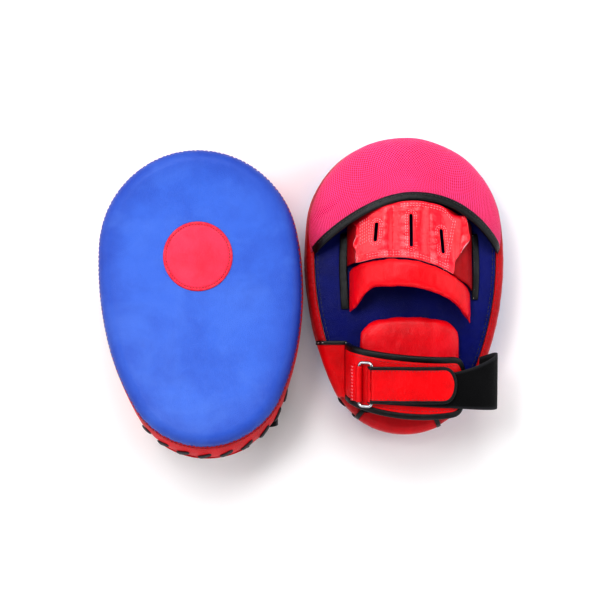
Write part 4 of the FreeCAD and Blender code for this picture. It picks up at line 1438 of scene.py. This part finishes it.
for side_name in SIDES:
    end = cuff_end[side_name]
    rows = []
    for along in np.linspace(0, 1, 96):
        row = []
        for across in np.linspace(0, 1, 22):
            rim = min(across, 1 - across) * 50
            dip = 0.7 * math.exp(-(rim / 3.0) ** 2)
            dip += 0.22 * abs(noise.noise(Vector((along * 14, across * 5, 2.0))))
            row.append(cuff_spot(along, across, end, 2.2, -dip)[0])
        for across in np.linspace(1, 0, 22):
            rim = min(across, 1 - across) * 50
            slack = 0.5 * math.exp(-(rim / 4.0) ** 2)
            row.append(cuff_spot(along, across, end, 2.2, -cuff_deep + slack)[0])
        rows.append(row)
    cuff = outward(surface("cuff", rows, closed=True, caps="first last"))
    cuff.data.materials.append(cuff_leather)
    cuff.data.materials.append(lining_cloth)
    inside = np.zeros(len(cuff.data.polygons), int)
    lining_side = Vector(at_wrist(0, 0, 0) - 12 * wrist_off)
    for k, polygon in enumerate(cuff.data.polygons):
        centre = polygon.center / MM
        if polygon.normal.dot(lining_side - centre) > 0 and len(polygon.vertices) == 4:
            inside[k] = 1
    cuff.data.polygons.foreach_set("material_index", inside)
    lay_down(cuff, "padded_cuff", "side_leather", ["cuff", "cuff_padding"], fill=0.5, sides=[side_name])
    path, ups = [], []
    trail = [(a, 0.0) for a in np.linspace(0, 1, 60)] + [(1.0, a) for a in np.linspace(0, 1, 30)[1:-1]]
    trail += [(a, 1.0) for a in np.linspace(1, 0, 60)]
    for along, across in trail:
        spot, up = cuff_spot(along, across, end, 2.4, -cuff_deep / 2)
        path.append(spot)
        ups.append(up)
    path = np.array(path)
    for _ in range(6):
        path[1:-1] = (path[:-2] + 2 * path[1:-1] + path[2:]) / 4
    binding = tape("cuff_binding", path, ups, 6.2, cuff_deep + 0.7, 0.5, ripple=0.06)
    lay_down(binding, "cuff_edge_tape", "trim_tape", ["cuff_binding"], fill=0.4, sides=[side_name])
    seam = []
    for share in (0.10, 0.90):
        seam.append([cuff_spot(along, share, end, 2.2, 0.0)[0] for along in np.linspace(0.16, 0.96, 90)])
    sewn("cuff_stitches", seam, red_thread, "side_leather", 3.4, 2.5, 0.34, sides=[side_name])


# ---- cuff base ----
# Where the cuff starts, a doubled piece of red leather is folded over the mitt's outer edge and
# sewn down.  A black tape with white stitches covers its top edge.

fold_rise = 0.3                         # how far down the side a folded patch reaches
fold_foot = 43.7


def body_point(turn, run, off):
    """Point off the body at a turn: run is the way from the side's foot, up and over the back."""
    rise = side_end - fold_foot
    if run < rise:
        return ring_of(side_grow(fold_foot + run) + off, fold_foot + run, [turn])[0]
    run -= rise
    bend = (back_round + off) * math.pi / 2
    if run < bend:
        lean = run / (back_round + off)
        grow = (back_round + off) * math.cos(lean) - back_round
        return ring_of(grow, side_end + (back_round + off) * math.sin(lean), [turn])[0]
    return ring_of(-back_round - (run - bend), mitt_depth + off, [turn])[0]


def base_turns(y):
    """Direction of the outline, on the left, whose edge is at y."""
    fine = np.linspace(math.pi * 0.75, math.pi * 1.45, 1500)
    edge = outline(0.0, fine)
    return fine[int(np.argmin(np.abs(edge[:, 1] - y)))]


def level_point(y, run, off):
    """Point off the body at a run, kept level with one station of the mitt's length."""
    turn, step = base_turns(y), 0.01
    for _ in range(3):
        here, ahead = body_point(turn, run, off), body_point(turn + step, run, off)
        turn -= (here[1] - y) * step / (ahead[1] - here[1])
    return body_point(turn, run, off)


def level_reach(y, off, stop_x):
    """Run at which a level line over the back meets the cuff's foot."""
    first = fold_rise + (back_round + off) * math.pi / 2
    return halved(first, 70.0, lambda run: level_point(y, run, off)[0] < stop_x, 12)


base_low, base_top = wrist_y - 18.0, wrist_y + 34.5
rows = []
for y in np.linspace(base_low, base_top, 30):
    total = level_reach(y, 0.95, -58.6)
    rows.append([level_point(y, total * share, 0.95) for share in np.linspace(0, 1, 40)])
base = surface("cuff_base", rows)
base.data.materials.append(cuff_leather)
base_cut = cut_cloth(base)
base = outward(skin_thickness(base, 1.3, offset=0.0))
lay_down(base, "cuff_root_patch", "side_leather", ["cuff_base"], cloth=base_cut)

path, ups = [], []
total = level_reach(base_top, 1.9, -56.5)
for share in np.linspace(0.02, 1.0, 24):
    here = level_point(base_top, total * share, 1.9)
    up = here - level_point(base_top, total * share, 0.0)
    path.append(here)
    ups.append(up / np.linalg.norm(up))
base_tape = tape("base_tape", path, ups, 4.0, 1.9, 0.55, ripple=0.15)
lay_down(base_tape, "cuff_base_tape", "trim_tape")
line = [p + u * 1.0 for p, u in zip(path, ups)][2:]
sewn("cuff_base_stitches", [line], white_thread, "trim_tape", 4.2, 2.8, 0.45)


# ---- heel patch ----
# A red leather patch wraps the heel's back edge.  Black tape covers its two cut sides.

heel_x = (-44.0, 31.0)
heel_rise, heel_foot = 2.0, 42.0        # how far up the side it starts, and at what depth
heel_edge = 55.0                        # its straight edge, from the middle of the heel's arc


def heel_turn_at(x):
    return -math.acos(x / heel_arc[2])


def heel_reach(turn, least, more=0.0):
    """Way from the patch's foot to its straight edge on the back."""
    over = heel_arc[2] - heel_edge / abs(math.sin(turn)) - back_round + more
    return heel_rise + (back_round + 1.0) * math.pi / 2 + max(least, over)


def heel_point(turn, run, off):
    """Point off the body at the heel, a run from the patch's foot."""
    if run < heel_rise:
        return ring_of(side_grow(heel_foot + run) + off, heel_foot + run, [turn])[0]
    return body_point(turn, fold_rise + run - heel_rise, off)


rows = []
for x in np.linspace(*heel_x, 48):
    turn = heel_turn_at(x)
    total = heel_reach(turn, 0.4)
    rows.append([heel_point(turn, total * share, 0.95) for share in np.linspace(0, 1, 30)])
heel = surface("heel_patch", rows, flip=True)
heel.data.materials.append(red_leather)
heel_cut = cut_cloth(heel)
heel = outward(skin_thickness(heel, 1.2, offset=0.0))
lay_down(heel, "heel_leather", "side_leather", ["heel_patch"], cloth=heel_cut)
strips = []
for x in (heel_x[0] - 2.0, heel_x[1] + 2.0):
    turn = heel_turn_at(x)
    total = heel_reach(turn, 3.0, more=1.5)
    path, ups = [], []
    for share in np.linspace(0, 1, 24):
        spot, under = (heel_point(turn, total * share, off) for off in (1.2, 0.0))
        path.append(spot)
        ups.append((spot - under) / np.linalg.norm(spot - under))
    strips.append(tape("heel_tape", path, ups, 4.4, 1.7, 0.55))
strips = joined(strips)
lay_down(strips, "heel_side_tapes", "trim_tape", ["heel_tapes"])


# ---- steel ring ----
# A closed ring of chromed steel wire, bent to a long rectangle with round corners.  The strap
# is drawn through it, and it turns in the leather keeper.

def chrome_finish():
    material, tree, shader = new_material("chromed steel")
    haze = texture(tree, in_object(tree), "Noise", {"Scale": 240.0, "Detail": 5.0})
    rub = add_node(tree, "ShaderNodeMapRange", {"To Min": 0.10, "To Max": 0.30})
    tree.links.new(haze.outputs["Fac"], rub.inputs["Value"])
    tree.links.new(rub.outputs[0], shader.inputs["Roughness"])
    tree.links.new(blended(tree, haze.outputs["Fac"], (0.56, 0.57, 0.60), (0.36, 0.37, 0.39)),
                   shader.inputs["Base Color"])
    shader.inputs["Metallic"].default_value = 1.0
    return material


chrome = chrome_finish()
for side in SIDES:
    kept = frame["nodes"][side + "_ring"]
    kept.data.materials.clear()
    kept.data.materials.append(chrome)


# ---- ring keeper ----
# A strip of red leather is folded round the ring's inner bar and sewn down to the cuff with
# two rows of pale stitches.

ring_width, wire = 13.0, 1.5
keeper_x = -44.5
keeper_run = cuff_flow.run_at(keeper_x)
keeper_middle, keeper_way = cuff_flow.at(keeper_run, 0.25 + 1.8 + 0.25 + wire)


def sheet_size(points, rows):
    """Length along a strip's line and the strip's greatest width, in metres."""
    points = np.array(points)
    length = float(np.linalg.norm(np.diff(points, axis=0), axis=1).sum()) * MM
    width = max(float(np.linalg.norm(np.array(row[-1]) - np.array(row[0]))) for row in rows) * MM
    return width, length


keeper_line = []
sideways = np.array([keeper_way[0], keeper_way[1]])
upward = np.array([-keeper_way[1], keeper_way[0]])
for lean in np.linspace(math.radians(150), math.radians(-115), 26):
    keeper_line.append(keeper_middle + 2.35 * (sideways * math.sin(lean) + upward * math.cos(lean)))
tongue_end = cuff_flow.run_at(keeper_x - 8.5)
tongue_start = cuff_flow.run_at(keeper_x - 4.2)
for run in np.linspace(tongue_start, tongue_end, 8):
    keeper_line.append(cuff_flow.at(run, 0.95)[0])
rows = []
for k, spot in enumerate(keeper_line):
    row = []
    for across in np.linspace(-1, 1, 22):
        row.append(at_wrist(spot[0], 16.9 * across, spot[1]))
    rows.append(row)
keeper = surface("ring_keeper", rows)
keeper.data.materials.append(cuff_leather)
keeper_cut = sheet_size([row[0] for row in rows], rows)
keeper_area = flat_area(keeper)
keeper = outward(skin_thickness(keeper, 1.1, offset=0.0))
lay_down(keeper, "keeper_loop", "side_leather", ["ring_keeper"],
         cloth=dict(flat=keeper_cut, held="stretched", area=keeper_area))
runs = []
for k in (-2, -4):
    spot = keeper_line[k]
    runs.append([at_wrist(spot[0], y, spot[1]) + wrist_off * 0.75 for y in np.linspace(-15.5, 15.5, 24)])
sewn("keeper_stitches", runs, rose_thread, "side_leather", 3.0, 2.2, 0.4)


# ---- closing strap ----
# A wide strap of black loop fabric is sewn to the back beside the cuff's free end.  It stands up
# off the mitt's side, turns over the cuff and runs to the ring.  Its edges carry a painted grey highlight.

strap_thick = 2.5
strap_level = 0.7
bar_level = strap_level + strap_thick + 0.4 + wire
strap_top = ((-36.0, 16.0), (45.0, 12.0), (92.0, 32.0))
strap_bottom = ((-36.0, -18.0), (30.0, -21.5), (92.0, -26.0))
strap_reach = {"right": 86.0, "left": 64.0}

bar_run = halved(keeper_run, cuff_flow.run_at(keeper_x + 2 * ring_width),
                 lambda run: np.linalg.norm(cuff_flow.at(run, bar_level)[0] - keeper_middle) < ring_width)
bar_middle, bar_way = cuff_flow.at(bar_run, bar_level)


def loop_finish():
    """Loop fabric: a felt of tiny curled fibres, greyer where it catches the light."""
    material, tree, shader = new_material("loop fabric")
    place = in_object(tree)
    curls = texture(tree, place, "Voronoi", {"Scale": 1500.0}, feature="SMOOTH_F1")
    fuzz = texture(tree, place, "Noise", {"Scale": 900.0, "Detail": 6.0})
    slow = texture(tree, place, "Noise", {"Scale": 45.0, "Detail": 3.0})
    link = tree.links.new
    scuffs_and_light_mask = add_node(tree, "ShaderNodeAttribute", attribute_name="scuffs_and_painted_light")
    pile = math_node(tree, "MULTIPLY", fuzz.outputs["Fac"], slow.outputs["Fac"])
    tone = blended(tree, pile, (0.0015, 0.0015, 0.002), (0.012, 0.012, 0.014))
    # painted highlight: the mask greys the strap's edges
    link(blended(tree, scuffs_and_light_mask.outputs["Fac"], tone, (0.030, 0.030, 0.035)), shader.inputs["Base Color"])
    bumped(tree, shader, math_node(tree, "ADD", curls.outputs["Distance"], fuzz.outputs["Fac"]), 0.0005)
    set_inputs(shader, Roughness=0.95, Specular_IOR_Level=0.15, Sheen_Weight=0.06)
    return material


loop_fabric = loop_finish()
for side_name in SIDES:
    reach = strap_reach[side_name]
    inside = reach - strap_thick
    fine = np.linspace(heel_turn - 0.6, 0.0, 1200)
    edge = outline(0.0, fine)
    half_width = float(edge[int(np.argmin(np.abs(edge[:, 1] - wrist_y)))][0])
    root = half_width - back_round - 3.0
    first = cuff_flow.run_at(bar_middle[0] + wire + 0.4 + 2.2 + 0.4 + 1.0)
    leave = cuff_flow.run_at(40.0)
    knots = [cuff_flow.at(first + (leave - first) * k / 6, strap_level)[0] for k in range(7)]
    for near, share, z in ((40.0, 0.62, 42.5), (40.0, 0.94, 34.0), (40.0, 1.0, 22.0),
                           (root, 0.7, 8.0), (root, 0.0, -4.0)):
        knots.append(np.array((near + share * (inside - near), z)))
    strap_flow = Flow(knots)
    rows, line = [], []
    for run in np.linspace(0, strap_flow.length, 120):
        spot, _ = strap_flow.at(run, strap_thick / 2)
        low, high = arc_y(strap_bottom, spot[0]), arc_y(strap_top, spot[0])
        if depth_of(at_wrist(spot[0], 0, spot[1])) < mitt_depth + 0.6 and run > strap_flow.length / 2:
            break
        line.append((spot[0], 0.0, spot[1]))
        loose = min(1.0, max(0.0, (run - 60.0) / 15.0))
        row = []
        for across in np.linspace(0, 1, 26):
            y = low + (high - low) * across
            wave = 0.5 * noise.noise(Vector((run / 16, y / 14, 5.0))) * loose
            lift = strap_flow.at(run, strap_thick / 2 + wave)[0]
            row.append(at_wrist(lift[0], y, lift[1]))
        rows.append(row)
    strap = surface("strap", rows)
    # painted highlight: a grey sheen along both edges of the strap
    edge_highlight = np.tile([1.0, 0.7] + [0.0] * 22 + [0.7, 1.0], len(rows)).astype(np.float32)
    strap.data.attributes["scuffs_and_painted_light"].data.foreach_set("value", edge_highlight)
    strap.data.materials.append(loop_fabric)
    strap = skin_thickness(strap, strap_thick - 0.7, offset=0.0)
    outward(with_modifiers(strap, ("BEVEL", {"width": 0.5 * MM, "segments": 2, "limit_method": "ANGLE"})))
    mesh = strap.data
    mesh.transform(places[side_name])
    if side_name == "left":
        mesh.flip_normals()
    mesh.shade_smooth()
    strap.name = side_name + "_loop_strap"
    bend = [places[side_name] @ Vector(at_wrist(x, 0, z) * MM) for x, z in
            (cuff_flow.at(cuff_flow.run_at(22.0))[0], cuff_flow.at(cuff_flow.run_at(-27.0))[0])]
    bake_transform(strap)
    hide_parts(side_name + "_strap")


# ---- tail of the strap ----
# The strap's end comes up round the ring's free bar and folds back over itself.  It is faced
# with red leather, bound with black tape and carries a patch of hook tape on its underside.

tail_half, tail_tip, tail_thick = 17.0, 41.0, 2.2
rest_level = strap_level + strap_thick + 0.4 + 1.2 + 0.25
first_level = bar_level + wire + 0.4
tail_reach = [bar_middle[0] + (tail_tip - 10.0 - bar_middle[0]) * share for share in np.linspace(0, 1, 56)]
tail_reach += [tail_tip - 10.0 + 10.0 * math.sin(lean) for lean in np.linspace(0.08, math.pi / 2, 20)]
tail_runs = [bar_run] + [cuff_flow.run_at(x) for x in tail_reach[1:]]
tail_length = tail_tip - bar_middle[0]


def tail_level(run):
    eased = min(1.0, (run - bar_run) / (tail_runs[-1] - bar_run) * tail_length / 16.0)
    return first_level + (rest_level - first_level) * eased * eased * (3 - 2 * eased)


tail_line = []
sideways = np.array([bar_way[0], bar_way[1]])
upward = np.array([-bar_way[1], bar_way[0]])
for lean in np.linspace(math.radians(-160), 0, 18)[:-1]:
    tail_line.append((bar_middle + 3.0 * (sideways * math.sin(lean) + upward * math.cos(lean)), lean))
for run in tail_runs:
    tail_line.append((cuff_flow.at(run, tail_level(run) + tail_thick / 2)[0], 1.0))


def tail_half_at(x, inset):
    end = tail_line[-1][0][0]
    if x <= end - 10.0:
        return tail_half - inset
    share = min(1.0, (x - end + 10.0) / 10.0)
    return max(0.0, (tail_half - inset) * math.sqrt(1 - share ** 2))


rows, line = [], []
for spot, lean in tail_line:
    half = tail_half_at(spot[0], 1.0) if lean > 0 else tail_half - 1.0
    if half < 1.5:
        continue
    line.append((spot[0], 0.0, spot[1]))
    row = []
    for across in np.linspace(-1, 1, 22):
        y = half * across
        wave = 0.35 * noise.noise(Vector((spot[0] / 13, y / 10, 8.0))) if lean > 0 else 0.0
        row.append(at_wrist(spot[0], y, spot[1] + wave + 0.15 * (1 - across * across)))
    rows.append(row)
tail = surface("tail", rows)
tail.data.materials.append(cuff_leather)
tail_cut = sheet_size(line, rows)
tail_area = flat_area(tail)
tail = outward(skin_thickness(tail, 1.8, offset=0.0))
lay_down(tail, "strap_tail", "side_leather", ["tail"], body="tail_body",
         cloth=dict(flat=tail_cut, held="stretched", area=min(tail_area, tail_cut[0] * tail_cut[1])))

path, ups = [], []
for spot, lean, sign in [(*at, -1) for at in tail_line] + [(*at, 1) for at in tail_line[::-1]]:
    half = tail_half_at(spot[0], 1.2) if lean > 0 else tail_half - 1.2
    path.append(at_wrist(spot[0], sign * half, spot[1]))
    if lean > 0:
        _, way = cuff_flow.at(cuff_flow.run_at(max(spot[0], -50.0)))
        ups.append(at_wrist(-way[1], 0, way[0]) - wrist_at)
    else:
        out = (spot - bar_middle) / np.linalg.norm(spot - bar_middle)
        ups.append(at_wrist(out[0], 0, out[1]) - wrist_at)
path, ups = np.array(path), np.array(ups)
keep = [0]
for i in range(1, len(path)):
    if np.linalg.norm(path[i] - path[keep[-1]]) > 1.0:
        keep.append(i)
path, ups = path[keep], ups[keep]
for _ in range(3):
    path[1:-1] = (path[:-2] + 2 * path[1:-1] + path[2:]) / 4
tail_tape = tape("tail_binding", path, ups, 3.4, tail_thick + 0.7, 0.55, ripple=0.06)
lay_down(tail_tape, "tail_edge_tape", "trim_tape", ["tail_binding"], body="tail_body")

runs = []
for sign in (-1, 1):
    runs.append([at_wrist(spot[0], sign * 13.2, spot[1]) + wrist_off * 0.95
                 for spot, lean in tail_line if lean > 0 and spot[0] < 33.0])
sewn("tail_stitches", runs, red_thread, "side_leather", 3.2, 2.4, 0.36, body="tail_body")


def hook_nodes():
    """Flat patch to hook tape: an even field of small leaning hooks."""
    tree, given, result = shape_group("hook field", "Patch", {"Hooks per square metre": 420000.0,
                                                              "Hook height": 0.0009}, "Plastic", "Tape")
    link = tree.links.new
    scatter = add_node(tree, "GeometryNodeDistributePointsOnFaces", {"Seed": 5})
    hook = add_node(tree, "GeometryNodeMeshCone",
                    {"Vertices": 4, "Radius Top": 0.35, "Radius Bottom": 0.3, "Depth": 1.0})
    lay = add_node(tree, "GeometryNodeInstanceOnPoints")
    real = add_node(tree, "GeometryNodeRealizeInstances")
    both = add_node(tree, "GeometryNodeJoinGeometry")
    colour = add_node(tree, "GeometryNodeSetMaterial")
    link(given.outputs["Patch"], scatter.inputs["Mesh"])
    link(given.outputs["Hooks per square metre"], scatter.inputs["Density"])
    link(scatter.outputs["Points"], lay.inputs["Points"])
    link(scatter.outputs["Rotation"], lay.inputs["Rotation"])
    link(hook.outputs["Mesh"], lay.inputs["Instance"])
    link(given.outputs["Hook height"], lay.inputs["Scale"])
    link(lay.outputs["Instances"], real.inputs["Geometry"])
    link(given.outputs["Patch"], both.inputs["Geometry"])
    link(real.outputs["Geometry"], both.inputs["Geometry"])
    link(both.outputs["Geometry"], colour.inputs["Geometry"])
    link(given.outputs["Plastic"], colour.inputs["Material"])
    link(colour.outputs["Geometry"], result.inputs["Tape"])
    return tree


rows = []
hook_from = bar_middle[0] + 16.0 + 2.0
for run in np.linspace(cuff_flow.run_at(hook_from), cuff_flow.run_at(tail_tip - 6.0), 26):
    spot, _ = cuff_flow.at(run, rest_level - 0.25)
    half = max(4.0, tail_half_at(spot[0], 3.4))
    rows.append([at_wrist(spot[0], half * across, spot[1]) for across in np.linspace(-1, 1, 12)])
hook_patch = surface("tail_hook", rows, flip=True)
hook_plastic = vinyl_finish("hook tape", (0.008, 0.008, 0.010), (0.035, 0.035, 0.04), 0.5, 0.0001)
with_nodes(hook_patch, hook_nodes(), {"Plastic": hook_plastic, "Hook height": 0.0009,
                                      "Hooks per square metre": 420000.0})
lay_down(hook_patch, "hook_patch", "hook_tape", ["tail_hook"], body="tail_body", smooth=False)
